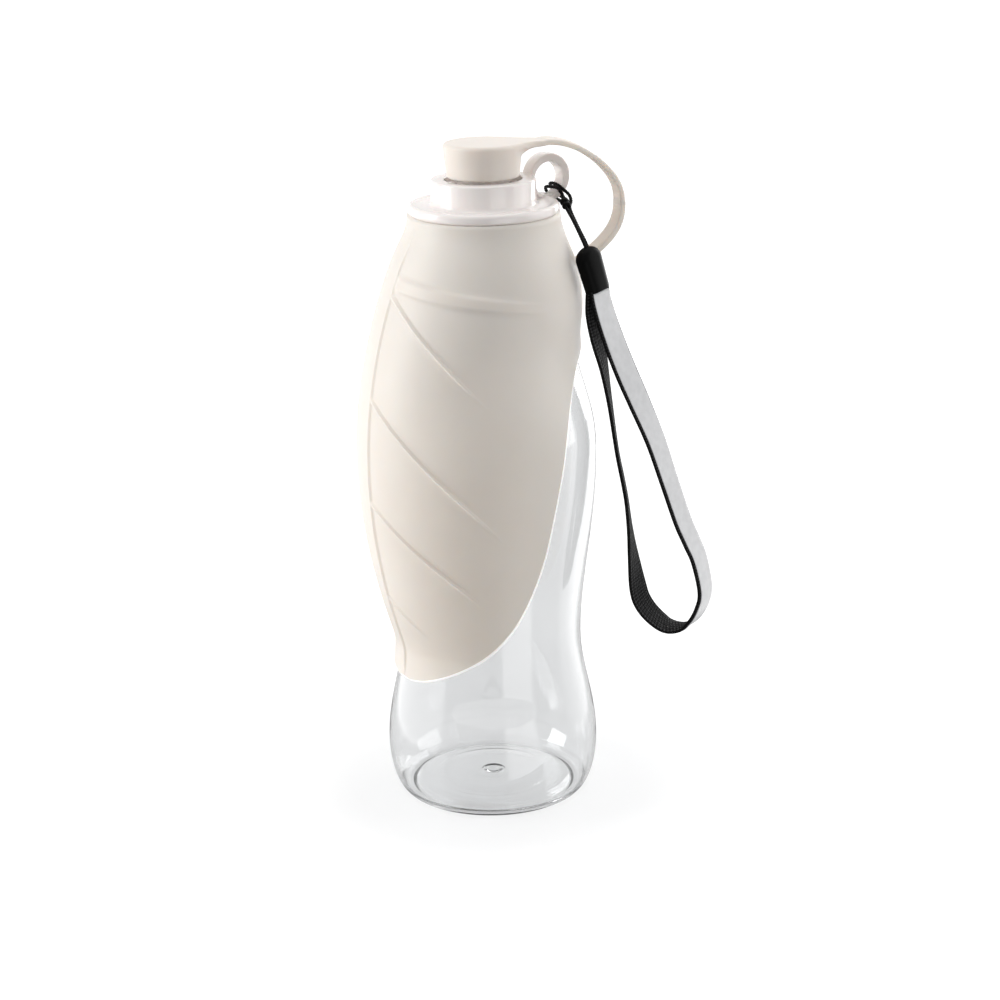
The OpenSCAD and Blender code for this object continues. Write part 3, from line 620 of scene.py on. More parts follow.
# %% [markdown]
# ## The screw thread
# The cap is held by a thread of 3.175 mm lead: one turn lifts it by that much, which is the ratio
# that couples the two joints in the CAD model. A thread is a small ridge swept along a helix. The
# neck's ridge points out, the cap's points in, half a lead away, so they mesh at every pose.

# %% Sweep the two ridges
LEAD = 3.175
RIDGE_FOOT, RIDGE_CREST = 0.75, 0.25  # half heights at the wall and at the crest


def thread_ridge(name, root_r, crest_r, start_z, turns, material, start_angle=0.4):
    steps = int(64 * turns)
    verts = []
    for i in range(steps + 1):
        a = start_angle + 2 * pi * turns * i / steps
        z = start_z + LEAD * turns * i / steps
        grow = min(1.0, 8 * i / steps, 8 * (steps - i) / steps)
        crest = root_r + (crest_r - root_r) * max(grow, 0.03)
        verts += [(r * cos(a), r * sin(a), z + dz)
                  for r, dz in ((root_r, -RIDGE_FOOT), (crest, -RIDGE_CREST),
                                (crest, RIDGE_CREST), (root_r, RIDGE_FOOT))]
    return make_piece(name, verts, ring_faces(steps + 1, 4), material, smooth=False, weld=False)


neck_thread = thread_ridge("neck_thread", NECK_R - 0.05, 14.75, 202.9, 1.1, clear_plastic)
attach(neck_thread, "bottle")

# %% [markdown]
# ## The leaf
# The leaf hugs the bottle at its back and stands off it along the midrib, where the folded bowl
# needs room. A mesh of rows and columns follows it: rows run from the midrib to the free edge
# along the veins, so each vein is a smooth ridge in the mesh itself and not a painted line.

# %% Shape of the leaf
MIDRIB_DIR, TIP_Z, BACK_EDGE_Z = 208.5, 46.0, 163.0
LEAF_WALL, LEAF_EDGE_WALL, LEAF_GAP, LEAF_TOP_R = 1.7, 1.1, 0.35, 25.2
BOWL_R, BOWL_Z, BOWL_FADE, BOWL_DROP_LOW, BOWL_DROP_HIGH = 44.6, 122, 1.6, 27, 33
BOWL_JOIN, BOWL_FROM_TOP = 0.64, 14  # how softly the bowl leaves the hug, and how far below the top
COLLAR_LOW_Z = SHOULDER_Z + 4
HUG = LEAF_GAP + LEAF_WALL
# degrees from the midrib, and height: down the seam at the back, then along the free edge
leaf_outline = np.array([
    [180, LEAF_TOP_Z], [180, BACK_EDGE_Z], [150, 158.5], [126, 153.5], [112, 145], [103.5, 134],
    [98, 120], [93.5, 106], [89.5, 93], [83, 80], [73.5, 68.5], [59, 59], [41, 52.5], [22, 48],
    [6, TIP_Z]])
# the edge's curve comes in from the other half, so it is level at the back
open_outline = leaf_outline.copy()
open_outline[0] = [360 - leaf_outline[2][0], leaf_outline[2][1]]


def outline_at(u):
    if u <= 1:
        return leaf_outline[0] + (leaf_outline[1] - leaf_outline[0]) * u
    return along(open_outline, u)


def leaf_hug_r(z):
    if z < COLLAR_LOW_Z:
        return bottle_r(z) + HUG
    low_r = bottle_r(COLLAR_LOW_Z) + HUG
    return ease_between(LEAF_TOP_Z - z, 0, LEAF_TOP_R, LEAF_TOP_Z - COLLAR_LOW_Z, low_r, 0.92)


def leaf_r(phi, z):
    """Outer radius at phi degrees from the midrib."""
    hug = leaf_hug_r(z)
    drop = BOWL_DROP_LOW if z < BOWL_Z else BOWL_DROP_HIGH
    over = BOWL_R - drop * ((z - BOWL_Z) / 100) ** 2 - hug
    stand = (over + sqrt(over * over + BOWL_JOIN)) / 2
    fade = ((1 + cos(radians(phi))) / 2) ** BOWL_FADE
    return hug + stand * fade * ease((LEAF_TOP_Z - z) / BOWL_FROM_TOP)


# %% Veins and rows of the leaf
SEAM_VEIN_Z = 167  # where the first vein's row meets the seam at the back
# start height, place on the outline, half width, half width of the crest, height, bow, faded at
veins = [
    (182.3, (LEAF_TOP_Z - SEAM_VEIN_Z) / (LEAF_TOP_Z - BACK_EDGE_Z), 2.9, 1.5, 1.0, 1.25, 0.58),
    (177.9, 6.2, 1.3, 0, 0.85, 1.38, 0.68),
    (144.5, 8.5, 1.3, 0, 0.85, 1.22, 0.81),
    (109.6, 10.0, 1.3, 0, 0.8, 1.13, 0.84),
    (76.0, 11.7, 1.3, 0, 0.55, 1.0, 0.6)]
VEIN_ROWS = 10
STATIONS_PER_MM = 0.09  # how many places of the outline a millimetre of the free edge takes
END_WIDTH = 0.6  # a vein's rows draw together towards its end


def vein_rows(vein):
    """Rows across one vein, as start, end, height, bow and fade."""
    start, end, half, crest, height, bow, faded = vein
    per_mm = 1 / (LEAF_TOP_Z - BACK_EDGE_Z) if end < 1 else STATIONS_PER_MM
    out = []
    for k in range(VEIN_ROWS + 1):
        off = half * (2 * k / VEIN_ROWS - 1)
        rise = ease((half - abs(off)) / (half - crest))
        out.append([start - off, end + off * per_mm * END_WIDTH, height * rise, bow, faded])
    return out


def rows_between(a, b, count):
    a, b = np.array(a, float), np.array(b, float)
    return [list(a + (b - a) * k / (count + 1)) for k in range(1, count + 1)]


def leaf_rows():
    top = [LEAF_TOP_Z, 0, 0, 1, 1]
    back = [veins[0][0] - veins[0][2] - 0.1, 1, 0, 1.1, 1]
    tip = [TIP_Z + 0.4, len(leaf_outline) - 1, 0, 1, 1]
    rows = [top] + rows_between(top, vein_rows(veins[0])[0], 16) + vein_rows(veins[0]) + [back]
    last = back
    for k, vein in enumerate(veins[1:]):
        these = vein_rows(vein)
        rows += rows_between(last, these[0], 22 if k == 0 else 14) + these
        last = these[-1]
    return rows + rows_between(last, tip, 16) + [tip]


# %% Points of the two skins
HALF_COLUMNS, MIDRIB_COLUMNS = 72, 6
MIDRIB_W, MIDRIB_H = 1.5, 0.6
MIDRIB_PHI = MIDRIB_W / BOWL_R * 57.3  # half its width, in degrees
SMOOTH_SIDE, SMOOTH_FADE = 34, 16  # the far half has no veins out to this angle
VEIN_GROW, VEIN_FADE = 0.03, 0.3  # shares of a row in which its vein rises and fades


def column_phi(j, end_phi):
    """Angle of a column: the first ones shape the midrib, and the rest share the way."""
    a, w = abs(j), min(MIDRIB_PHI, end_phi / 4)
    if a <= MIDRIB_COLUMNS:
        phi = w * a / MIDRIB_COLUMNS
    else:
        phi = w + (end_phi - w) * (a - MIDRIB_COLUMNS) / (HALF_COLUMNS - MIDRIB_COLUMNS)
    return copysign(phi, j)


def leaf_point(row, j, inner):
    start, end, height, bow, faded = row
    edge = outline_at(end)
    phi = column_phi(j, min(edge[0], 180.0))
    s = abs(phi) / edge[0]
    z = start + (edge[1] - start) * s ** bow
    if inner:
        thinner = ease((s - 0.7) / 0.3) * ease(end / 0.9)
        skin = -(LEAF_WALL + (LEAF_EDGE_WALL - LEAF_WALL) * thinner)
    else:
        rib = MIDRIB_H * ease(1 - abs(j) / MIDRIB_COLUMNS) if abs(j) < MIDRIB_COLUMNS else 0
        rise = ease((abs(phi) - SMOOTH_SIDE) / SMOOTH_FADE) if j < 0 else ease(s / VEIN_GROW)
        line = height * rise * ease((faded - s) / VEIN_FADE)
        skin = (line + rib) * ease((LEAF_TOP_Z - z) / 20) * ease((z - TIP_Z + 2) / 8)
    r = leaf_r(phi, z) + skin
    a = radians(MIDRIB_DIR + phi)
    return np.array([r * cos(a), r * sin(a), z])


# %% The clamped disc and the rounded free edge
HOLE_R, HOLE_ROUND = NECK_R + 1, 0.2
EDGE_ROUND = 8
LIP_OUT, LIP_SWELL = 0.9, 0.35  # the free edge ends in a small rounded lip


def leaf_disc(points, outer_ids, inner_ids, angles):
    """Faces of the disc round the neck, from the outer skin's first row to the inner one's."""
    rings = [outer_ids]
    for r, z in ((HOLE_R + HOLE_ROUND, LEAF_TOP_Z), (HOLE_R, LEAF_TOP_Z - HOLE_ROUND),
                 (HOLE_R, SEAT_Z + HOLE_ROUND), (HOLE_R + HOLE_ROUND, SEAT_Z)):
        first = len(points)
        points += [np.array([r * cos(a), r * sin(a), z]) for a in angles]
        rings.append([*range(first, len(points) - 1), first])
    rings.append(inner_ids)
    return [(a[c], a[c + 1], b[c + 1], b[c])
            for a, b in zip(rings, rings[1:]) for c in range(len(angles) - 1)]


def leaf_edge(points, outer, inner, seam, at):
    """Faces of the free edge: down one side, across the tip and up the other side."""
    low, far = outer.shape[0] - 1, outer.shape[1] - 1
    # row, column, and the step of columns that leads back into the leaf (none along the tip)
    rim = [(k, 0, 1) for k in range(seam - 1, low + 1)]
    rim += [(low, c, 0) for c in range(1, far)]
    rim += [(k, far, -1) for k in range(low, seam - 2, -1)]
    strips = []
    for k, c, step in rim:
        a, b = outer[k, c], inner[k, c]
        out = unit(a - (outer[k, c + step] if step else outer[k - 1, c]))
        radial = np.array([a[0], a[1], 0]) / hypot(a[0], a[1])
        out = unit(out - out.dot(radial) * radial)
        ids = [at(0, k, c)]
        for t in pi * np.arange(1, EDGE_ROUND) / EDGE_ROUND:
            ids.append(len(points))
            swell = cos(t) * (1 + LIP_SWELL * sin(t))
            points.append((a + b) / 2 + (a - b) / 2 * swell + out * LIP_OUT * sin(t) ** 0.7)
        strips.append(ids + [at(1, k, c)])
    strips[-1] = strips[0]
    return [(a[m], b[m], b[m + 1], a[m + 1])
            for a, b in zip(strips, strips[1:]) for m in range(EDGE_ROUND)]


# %% Build the leaf
def build_leaf():
    rows = leaf_rows()
    columns = range(-HALF_COLUMNS, HALF_COLUMNS + 1)
    outer, inner = [np.array([[leaf_point(r, j, side) for j in columns] for r in rows])
                    for side in (False, True)]
    inner[0, :, 2] = SEAT_Z
    across = len(columns)
    seam = sum(1 for r in rows if r[1] <= 1)  # so many rows close round the back
    points = [p for grid in (outer, inner) for row in grid for p in row]
    base = len(points) // 2

    def at(side, k, c):
        return side * base + k * across + (0 if c == across - 1 and k < seam else c)

    faces = [(at(side, k, c), at(side, k, c + 1), at(side, k + 1, c + 1), at(side, k + 1, c))
             for side in (0, 1) for k in range(len(rows) - 1) for c in range(across - 1)]
    angles = [radians(MIDRIB_DIR + column_phi(j, 180.0)) for j in columns]
    first_rows = [[at(side, 0, c) for c in range(across)] for side in (0, 1)]
    faces += leaf_disc(points, *first_rows, angles)
    edge_from = len(faces)
    faces += leaf_edge(points, outer, inner, seam, at)
    piece = make_piece("leaf", points, faces, silicone, weld=False)
    # the free edge's faces get the material whose paler colour and glow paint the rim's highlight
    piece.data.materials.append(edge_painted_highlight)
    for polygon in piece.data.polygons[edge_from:]:
        polygon.material_index = 1
    return piece


leaf = build_leaf()
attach(leaf, "trough")
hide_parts("leaf_trough")
print("leaf faces:", len(leaf.data.polygons))

# %% [markdown]
# ## The cap
# The cap is hard plastic from a steel mould: every edge has a small radius, and light catches on
# them. A Bevel modifier could round the CAD solid, but a profile with its own arcs gives each edge
# its real radius: wide on the flange, small on the collar and the spout.

# %% Turn the cap
CAP_Z = LEAF_TOP_Z
ROOF_Z, WELL_Z, COLLAR_TOP_Z, SPOUT_TOP_Z = 209.2, 210.8, 213.2, 219.5
FLANGE_R, FLANGE_H, COLLAR_R, SOCKET_R = 24.85, 3.5, 17.3, 15.1
WELL_R, SPOUT_R, SPOUT_BORE = 12.8, 8.6, 6.5


def corner(r, z, size, out, up, start, steps=8, turn=90):
    """A rounded corner. Its centre lies inwards or outwards (-1 or 1), and down or up, of it."""
    return arc(r + out * size, z + up * size, size, start, start + turn, steps)


def cap_profile():
    top = CAP_Z + FLANGE_H
    dish = top - 0.49
    profile = [(SOCKET_R, CAP_Z + 0.3), (SOCKET_R + 0.3, CAP_Z)]
    profile += corner(FLANGE_R, CAP_Z, 1.3, -1, 1, -90) + corner(FLANGE_R, top, 1.3, -1, -1, 0)
    profile += [(FLANGE_R - 1.9, top - 0.07), (FLANGE_R - 2.5, top - 0.34), (FLANGE_R - 3.1, dish)]
    profile += corner(COLLAR_R, dish, 1.4, 1, 1, 270, turn=-90)
    profile += corner(COLLAR_R, COLLAR_TOP_Z, 0.8, -1, -1, 0)
    profile += corner(WELL_R, COLLAR_TOP_Z, 0.48, 1, -1, 90, 4)
    profile += corner(WELL_R, WELL_Z, 0.5, -1, 1, 0, 4, -90)
    profile += corner(SPOUT_R, WELL_Z, 0.5, 1, 1, 270, 4, -90)
    profile += corner(SPOUT_R, SPOUT_TOP_Z, 0.8, -1, -1, 0)
    profile += corner(SPOUT_BORE, SPOUT_TOP_Z, 0.48, 1, -1, 90, 4)
    return profile + [(SPOUT_BORE, ROOF_Z), (SOCKET_R, ROOF_Z)]


cap_shell = make_piece("screw_cap", *turned(cap_profile(), 160), cap_plastic)
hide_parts("cap")

# %% [markdown]
# ## The lanyard ring
# The ring stands upright at the flange's rim, and its edges are well rounded so that they can't
# cut the cord. It is a rounded profile turned round the ring's own axis, with a small foot that
# carries it past the rim and a moulded pocket in the foot's face.

# %% Build the ring and its foot
RING_DIR, RING_RHO, RING_UP, RING_R, EYE_R, RING_ROUND = 33.0, 24.7, 9.45, 7.9, 5.7, 0.7
RING_FRONT, RING_BACK = 3.0, 2.6
EYE_SHIFT = (-0.45, -0.55)  # the eye sits inwards and low, so the band is thinner at its foot
ring_frame = Matrix.Rotation(radians(RING_DIR), 4, "Z")


def ring_profile():
    """Radius, place along the ring's axis, and share of the eye's shift."""
    low, high = -RING_BACK + RING_ROUND, RING_FRONT - RING_ROUND
    inner, outer = EYE_R + RING_ROUND, RING_R - RING_ROUND
    return [(r, y, share)
            for share, center_r, center_y, start in (
                (1, inner, low, 180), (0, outer, low, 270), (0, outer, high, 0),
                (1, inner, high, 90))
            for r, y in arc(center_r, center_y, RING_ROUND, start, start + 90, 6)]


rim = ring_profile()
points, faces = turned([(r, y) for r, y, _ in rim], 96)
shares = [rim[i % len(rim)][2] for i in range(len(points))]
points = [(x + EYE_SHIFT[0] * share, y + EYE_SHIFT[1] * share, z)
          for share, (x, y, z) in zip(shares, points)]
# turning about X brings the ring's own axis to the side, with its front towards -Y
stand_up = (ring_frame @ Matrix.Translation((RING_RHO, 0, CAP_Z + RING_UP))
            @ Matrix.Rotation(pi / 2, 4, "X"))
ring = make_piece("lanyard_ring", [stand_up @ Vector(p) for p in points], faces, cap_plastic)
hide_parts("cap")


# %% The foot
def rounded_block(name, outline, y_low, y_high, bevel):
    """An outline in X and Z of the ring's frame, given a thickness and rounded edges."""
    count = len(outline)
    points = [ring_frame @ Vector((x, y, z)) for y in (y_low, y_high) for x, z in outline]
    faces = [tuple(range(count)), tuple(reversed(range(count, 2 * count)))]
    faces += [(i, count + i, count + j, j) for i, j in neighbours(count)]
    block = make_piece(name, points, faces, cap_plastic)
    rounding = block.modifiers.new("rounding", "BEVEL")
    rounding.width, rounding.segments, rounding.limit_method = bevel * MM, 3, "NONE"
    return block


def keep_evaluated(piece):
    """Keeps the mesh that the modifiers make, and takes them off."""
    bpy.context.view_layer.update()
    evaluated = piece.evaluated_get(bpy.context.evaluated_depsgraph_get())
    mesh = bpy.data.meshes.new_from_object(evaluated)
    piece.modifiers.clear()
    piece.data = mesh


LUG_R, LUG_Z, WEB_Z = RING_RHO + 2.37, CAP_Z + 0.4, CAP_Z + 3.85
POCKET_IN, POCKET_OUT, POCKET_LOW_Z, POCKET_TOP_Z = 23.94, 26.6, CAP_Z + 0.8, WEB_Z - 0.7
foot = rounded_block(
    "ring_foot",
    [(COLLAR_R - 0.8, LUG_Z), (LUG_R, LUG_Z), (LUG_R, WEB_Z - 0.8), (RING_RHO, WEB_Z),
     (COLLAR_R + 1.6, WEB_Z), (COLLAR_R - 0.8, WEB_Z + 0.8)],
    -RING_FRONT + 0.4, RING_BACK, 0.3)
pocket = rounded_block(
    "pocket_cutter",
    [(POCKET_IN, POCKET_LOW_Z), (POCKET_OUT, POCKET_LOW_Z), (POCKET_OUT, POCKET_TOP_Z),
     (POCKET_IN, POCKET_TOP_Z)],
    -RING_FRONT - 2, -RING_FRONT + 1.6, 0.2)
cut = foot.modifiers.new("pocket", "BOOLEAN")
cut.object, cut.operation = pocket, "DIFFERENCE"
keep_evaluated(foot)
bpy.data.objects.remove(pocket)
for polygon in foot.data.polygons:
    polygon.use_smooth = False
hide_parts("cap")
cap_thread = thread_ridge("cap_thread", SOCKET_R + 0.05, 14.3, 204.5, 1.0, cap_plastic)
for piece in (cap_shell, ring, foot, cap_thread):
    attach(piece, "cap")
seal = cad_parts["cap_gasket"]
for slot in seal.material_slots:
    slot.material = seal_silicone
print("cap faces:", len(cap_shell.data.polygons) + len(ring.data.polygons))

# %% [markdown]
# ## The stopper
# The stopper and the root of its strap are one soft moulding: the head's top runs out into the
# strap without a step. Seen from above its outline is a circle with a flared tongue, so each ring
# of the mesh is that outline, and lower rings shrink back to the plain circle under the tongue.

# %% Outline of the head with its tongue
STRAP_ANGLE, STRAP_W, STRAP_T = radians(14.0), 9.0, 2.0
HEAD_R, HEAD_LOW_R, HEAD_Z, HEAD_TOP_Z, HEAD_ROUND = 13.0, 11.95, 213.7, 225.0, 1.3
TONGUE_IN, TONGUE_OUT, TONGUE_ROOT_W = 8.06, 19.0, 20.4
UNDER_Z, UNDER_FILLET = HEAD_TOP_Z - STRAP_T, 2.6


def tongue_half_w(rho):
    """It leaves the circle along the circle's own tangent and ends along the strap."""
    length, root = TONGUE_OUT - TONGUE_IN, TONGUE_ROOT_W / 2
    t = min(max((rho - TONGUE_IN) / length, 0.0), 1.0)
    slope = -TONGUE_IN / root
    return (root * (1 + 2 * t) * (1 - t) ** 2 + length * slope * t * (1 - t) ** 2
            + STRAP_W / 2 * t * t * (3 - 2 * t))


def tongue_reach(delta):
    """How far the tongue's edge is from the axis, in a direction delta radians off its middle."""
    delta = abs(delta)
    if delta > 1.3:
        return 0.0
    if tan(delta) * TONGUE_OUT <= STRAP_W / 2:
        return TONGUE_OUT / cos(delta)
    low, high = TONGUE_IN, TONGUE_OUT
    for _ in range(30):
        rho = (low + high) / 2
        if tongue_half_w(rho) > rho * tan(delta):
            low = rho
        else:
            high = rho
    return low / cos(delta) if tongue_half_w(TONGUE_IN) > TONGUE_IN * tan(delta) else 0.0


# %% Build the head
def head_r(z):
    return HEAD_LOW_R + (HEAD_R - HEAD_LOW_R) * (z - HEAD_Z) / (HEAD_TOP_Z - HEAD_Z - HEAD_ROUND)


def build_stopper():
    half = np.concatenate([np.linspace(0, 0.9, 60, endpoint=False),
                           np.linspace(0.9, pi, 44, endpoint=False)])
    deltas = np.concatenate([half, [pi], -half[:0:-1]])
    reach = [tongue_reach(d) for d in deltas]
    # each level: height, how much of the tongue it has, how far it is drawn in on the head and
    # on the tongue
    levels = [(HEAD_Z, 0, 0.43, 0.43), (HEAD_Z + 0.12, 0, 0.13, 0.13), (HEAD_Z + 0.43, 0, 0, 0)]
    levels += [(z, 0, 0, 0) for z in np.linspace(HEAD_Z + 1.5, UNDER_Z - 3.0, 6)]
    levels += [(UNDER_Z - UNDER_FILLET * (1 - b) ** UNDER_FILLET, b, 0, 0)
               for b in (0.0, 0.03, 0.07, 0.12, 0.18, 0.26, 0.36, 0.5, 0.65, 0.8, 0.93)]
    levels += [(UNDER_Z, 1, 0, 0.3), (UNDER_Z + 0.1, 1, 0, 0.1), (UNDER_Z + 0.3, 1, 0, 0)]
    levels += [(HEAD_TOP_Z - HEAD_ROUND * (1 - sin(a)), 1, HEAD_ROUND * (1 - cos(a)),
                0.4 * max(0.0, 1 - cos(a))) for a in np.linspace(0, pi / 2, 9)]
    levels += [(HEAD_TOP_Z, 1, HEAD_ROUND + d, 0.4 + d * 1.3) for d in (1.5, 4.0, 7.5)]
    points = []
    for z, tongue, head_in, tongue_in in levels:
        plain = head_r(min(z, HEAD_TOP_Z - HEAD_ROUND)) - head_in
        for delta, far in zip(deltas, reach):
            out = max(plain, far - tongue_in) if far > 0 else plain
            r, a = plain + (out - plain) * tongue, STRAP_ANGLE + delta
            points.append((r * cos(a), r * sin(a), z))
    count, rings = len(deltas), len(levels)
    faces = [(i * count + j, i * count + k, (i + 1) * count + k, (i + 1) * count + j)
             for i in range(rings - 1) for j, k in neighbours(count)]
    faces.append(tuple((rings - 1) * count + j for j in range(count)))
    # the hollow that goes over the spout
    previous = list(range(count))
    for r, z in ((9.2, HEAD_Z), (9.1, HEAD_Z + 0.1), (8.95, SPOUT_TOP_Z),
                 (8.7, SPOUT_TOP_Z + 0.3), (0, SPOUT_TOP_Z + 0.3)):
        ids = list(range(len(points), len(points) + count))
        points += [(r * cos(STRAP_ANGLE + d), r * sin(STRAP_ANGLE + d), z)
                   for d in deltas]
        faces += [(previous[j], ids[j], ids[k], previous[k]) for j, k in neighbours(count)]
        previous = ids
    return make_piece("stopper_head", points, faces, silicone)


stopper = build_stopper()

# %% [markdown]
# ## The strap
# The strap springs from the tongue, out and down in one arc, and ends in the leaf's shoulder. It
# crosses two joints: the cap lifts off the leaf, and the stopper lifts off the cap. So it is made
# in two halves that meet at its widest point.
# The upper half and the head are one moulding: a Remesh modifier welds them into a single skin,
# and a little smoothing gives the soft fillet where the strap leaves the head.

# %% Path of the strap: distance from the axis, and height
STRAP_FOOT_Z = LEAF_TOP_Z - 19.5
STRAP_FOOT_R = leaf_hug_r(STRAP_FOOT_Z) - LEAF_WALL / 2
upper_path = [(TONGUE_OUT + x, HEAD_TOP_Z - STRAP_T / 2 - d) for x, d in (
    (-1.5, 0.02), (0.3, 0), (2.5, -0.3), (5.8, 0), (9.2, 0.9), (12.6, 2.3), (16.2, 4.4),
    (19.5, 6.8), (22.6, 9.8), (25.2, 13.2), (26.9, 17.0))]
lower_path = [(STRAP_FOOT_R + x, STRAP_FOOT_Z + d) for x, d in (
    (16.1, 20.7), (15.8, 16.7), (14.6, 13.1), (12.5, 9.9), (9.6, 6.9), (5.8, 3.8), (2.4, 1.3),
    (0, 0))]
strap_path = upper_path + lower_path
SPLIT, OVERLAP = len(upper_path), 0.3  # both counted in points of the path
SKIN_VOXEL, SOFTEN = 0.22, 12


def on_strap(rho, z):
    """A point over the strap's middle line, in millimetres."""
    return np.array([rho * cos(STRAP_ANGLE), rho * sin(STRAP_ANGLE), z])


def strap_half(name, first, last, closed_start=True):
    rows, _ = even_route(strap_path, first, last, 0.6)
    points = np.array([on_strap(rho, z) for rho, z in rows])
    ahead_of = headings(points)
    # both halves use the curve's own direction where they meet
    for end, u in ((0, first), (-1, last)):
        step = (along(strap_path, min(u + 0.01, len(strap_path) - 1))
                - along(strap_path, max(u - 0.01, 0)))
        ahead_of[end] = on_strap(*step) / np.linalg.norm(step)
    wide = np.tile([-sin(STRAP_ANGLE), cos(STRAP_ANGLE), 0], (len(points), 1))
    section = superellipse(STRAP_W / 2, STRAP_T / 2, 7, 56)
    verts, faces = swept(points, wide, np.cross(ahead_of, wide), lambda i: section)
    return make_piece(name, verts, faces[0 if closed_start else 1:], silicone, weld=False)


def weld_into_one(piece, other):
    build = bmesh.new()
    build.from_mesh(piece.data)
    build.from_mesh(other.data)
    build.to_mesh(piece.data)
    build.free()
    bpy.data.objects.remove(other)
    remesh = piece.modifiers.new("one_skin", "REMESH")
    remesh.mode, remesh.voxel_size, remesh.use_smooth_shade = "VOXEL", SKIN_VOXEL * MM, True
    soften = piece.modifiers.new("soften", "SMOOTH")
    soften.factor, soften.iterations = 0.5, SOFTEN
    keep_evaluated(piece)
    if not piece.data.materials:
        piece.data.materials.append(silicone)


# %% Build the strap's two halves
strap_upper = strap_half("strap_upper", 0, SPLIT + OVERLAP)
strap_low = strap_half("strap_lower", SPLIT, len(strap_path) - 1, closed_start=False)
weld_into_one(stopper, strap_upper)
split_point = on_strap(*along(strap_path, SPLIT))
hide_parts("stopper", "stopper_strap")
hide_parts("stopper_strap")
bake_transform(stopper)
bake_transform(strap_low)
print("stopper faces:", len(stopper.data.polygons), "- strap splits at", np.round(split_point, 1))

# %% [markdown]
# ## Floor, light and background
# The photograph has a pure white ground with only a faint shadow. A white card would need so much
# light that the bottle would burn out. Instead the floor shines a little for the rays that look
# at it, which whitens it without lighting the bottle, and its own shading still carries the shadow.
# It shines less round the bottle, so that the shadow shows there, and this dimming also paints a
# faint disc of shade round the base.
#
# Glossy and clear plastic show what stands round them, so a studio sets white and black cards
# there. The Light Path node tells the kinds of rays apart, and ramps on the floor stand for the
# cards: one set goes round the bottle for gloss, and strips behind it are for the clear plastic.


# %% Nodes for the floor's light
def ramp_node(tree, factor, stops):
    """A ramp of grey levels, where a level above 1 is a bright card."""
    top = max(level for _, level in stops)
    node = add_node(tree, "ValToRGB", Fac=factor)
    ramp = node.color_ramp
    ramp.interpolation = "EASE"
    ramp.elements[0].position, ramp.elements[1].position = stops[0][0], stops[-1][0]
    for position, _ in stops[1:-1]:
        ramp.elements.new(position)
    for element, (_, level) in zip(ramp.elements, stops):
        element.color = (level / top, level / top, level / top, 1)
    return math_node(tree, "MULTIPLY", node.outputs["Color"], top)


def choose(tree, switch, off, on):
    """The value `on` where the switch is 1, and `off` where it is 0."""
    return add_node(tree, "Mix", data_type="FLOAT", i0=switch, i2=off, i3=on).outputs[0]


def turn_to_stop(azimuth):
    """Where a compass direction, in degrees from +X towards +Y, lies on a radial ramp."""
    return ((azimuth + 180) % 360) / 360


# %% Floor
FLOOR_HALF = 4000  # in millimetres
BOUNCE = 0.22  # the least that the floor shines for rays that light other surfaces
STRIPS_FROM, STRIPS_TO, STRIPS_WIDEN, BEHIND_Y = -0.4, 0.4, 1.25, -0.06  # metres, as nodes see it

floor_white, tree, shader = new_material(
    "floor_white", (0.3, 0.3, 0.3), 0.9, Specular_IOR_Level=0.0)
path = add_node(tree, "LightPath")
by_camera, by_gloss, by_clear = [
    path.outputs[f"Is {kind} Ray"] for kind in ("Camera", "Glossy", "Transmission")]
where = add_node(tree, "TexCoord").outputs["Object"]
parts = add_node(tree, "SeparateXYZ", Vector=where)
span = add_node(tree, "VectorMath", operation="LENGTH", i0=where)
# seen by the camera: pure white far out, and dimmer beside the bottle so that its real shadow
# shows;
# the dimming also paints a faint grey disc of shade round the base
seen_with_painted_shade = ramp_node(tree, span.outputs["Value"],
                 [(0.0, 0.6), (0.045, 0.65), (0.085, 0.78), (0.13, 0.95), (1.0, 1.0)])
# seen by gloss: cards and gaps round the bottle
turn = add_node(tree, "TexGradient", gradient_type="RADIAL", Vector=where)
cards = ramp_node(tree, turn.outputs["Fac"], sorted((turn_to_stop(a), level) for a, level in (
    (-179.9, 1.9), (-150, 1.9), (-142, 0.3), (-80, 0.25), (-74, 2.6), (-46, 2.6), (-38, 0.3),
    (-8, 0.4), (8, 1.2), (30, 1.8), (66, 1.5), (76, 0.4), (88, 0.12), (100, 0.3), (114, 1.2),
    (140, 1.9), (179.9, 1.9))))
# the strips widen with distance, so that they keep their width behind the bottle
widen = math_node(tree, "MULTIPLY_ADD", parts.outputs["Y"], STRIPS_WIDEN, 1.0)
across = math_node(tree, "DIVIDE", parts.outputs["X"], math_node(tree, "MAXIMUM", widen, 1.0))
sideways = add_node(tree, "MapRange", Value=across, From_Min=STRIPS_FROM,
                    From_Max=STRIPS_TO).outputs["Result"]
# seen through the clear plastic: grey behind the bottle, paler beside it and dark far out
through = ramp_node(tree, sideways, [
    (0.0, 0.1), (0.25, 0.35), (0.37, 0.6), (0.44, 0.62), (0.47, 0.48), (0.5, 0.43), (0.53, 0.48),
    (0.56, 0.62), (0.63, 0.6), (0.75, 0.35), (1.0, 0.1)])
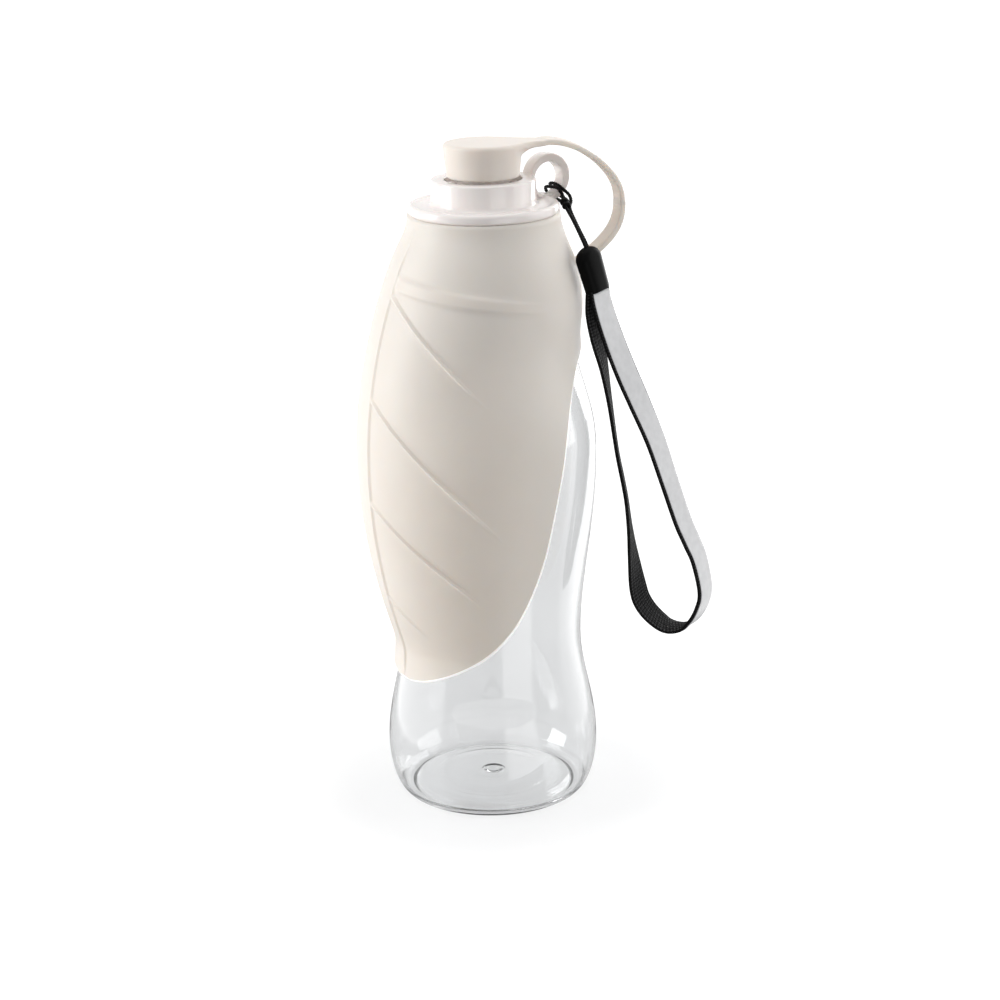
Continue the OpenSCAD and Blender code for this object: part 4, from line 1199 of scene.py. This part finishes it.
# for gloss, a dark strip straight behind draws the thin grey outline of the clear plastic
strip = ramp_node(tree, sideways, [
    (0.0, 1.0), (0.34, 1.0), (0.385, 0.1), (0.615, 0.1), (0.66, 1.0), (1.0, 1.0)])
in_front = math_node(tree, "LESS_THAN", parts.outputs["Y"], BEHIND_Y)
cards = math_node(tree, "MULTIPLY", cards, math_node(tree, "MAXIMUM", strip, in_front))
level = choose(tree, by_clear, cards, through)
level = math_node(tree, "MULTIPLY", level, math_node(tree, "MAXIMUM", by_gloss, by_clear))
level = choose(tree, by_camera, math_node(tree, "MAXIMUM", level, BOUNCE), seen_with_painted_shade)
glow = add_node(tree, "Emission", Color=(1, 1, 1, 1), Strength=level)
total = add_node(tree, "AddShader", i0=shader.outputs["BSDF"], i1=glow.outputs["Emission"])
tree.links.new(total.outputs["Shader"], tree.nodes["Material Output"].inputs["Surface"])
floor = make_piece("floor", [(x * FLOOR_HALF, y * FLOOR_HALF, 0)
                             for x, y in ((-1, -1), (1, -1), (1, 1), (-1, 1))],
                   [(0, 1, 2, 3)], floor_white, smooth=False)

# %% World: soft fill for surfaces, plain white for rays that look past them
world = bpy.data.worlds.new("studio")
scene.world = world
world.use_nodes = True
tree = world.node_tree
tree.nodes.clear()
path = add_node(tree, "LightPath")
fill = add_node(tree, "Background", Color=(0.52, 0.525, 0.535, 1))
backdrop = add_node(tree, "Background", Color=(1, 1, 1, 1))
looks = math_node(tree, "MAXIMUM", path.outputs["Is Camera Ray"], path.outputs["Is Glossy Ray"])
looks = math_node(tree, "MAXIMUM", looks, path.outputs["Is Transmission Ray"])
both = add_node(tree, "MixShader", i0=looks, i1=fill.outputs["Background"],
                i2=backdrop.outputs["Background"])
add_node(tree, "OutputWorld", Surface=both.outputs["Shader"])

# %% Lamps
MIDDLE = (0, 0, 0.12)


def soft_box(name, at, size, power):
    data = bpy.data.lights.new(name, "AREA")
    data.shape, data.size, data.size_y = "RECTANGLE", *size
    data.energy = power
    lamp = bpy.data.objects.new(name, data)
    lamp.location = at
    lamp.rotation_euler = (Vector(MIDDLE) - Vector(at)).to_track_quat("-Z", "Y").to_euler()
    scene.collection.objects.link(lamp)


soft_box("key_left", (-0.88, -0.06, 0.32), (0.4, 0.9), 7.0)
soft_box("fill_right", (0.88, -0.05, 0.32), (0.6, 1.0), 3.4)
soft_box("rim_right", (0.58, 0.66, 0.4), (0.5, 0.8), 4.8)
soft_box("top", (0.0, 0.1, 1.0), (0.7, 0.7), 1.6)

# %% [markdown]
# ## Finish
# The colours should render about as they are written, so the plain Standard view is used.

# %% Use the Standard view
scene.view_settings.view_transform = "Standard"
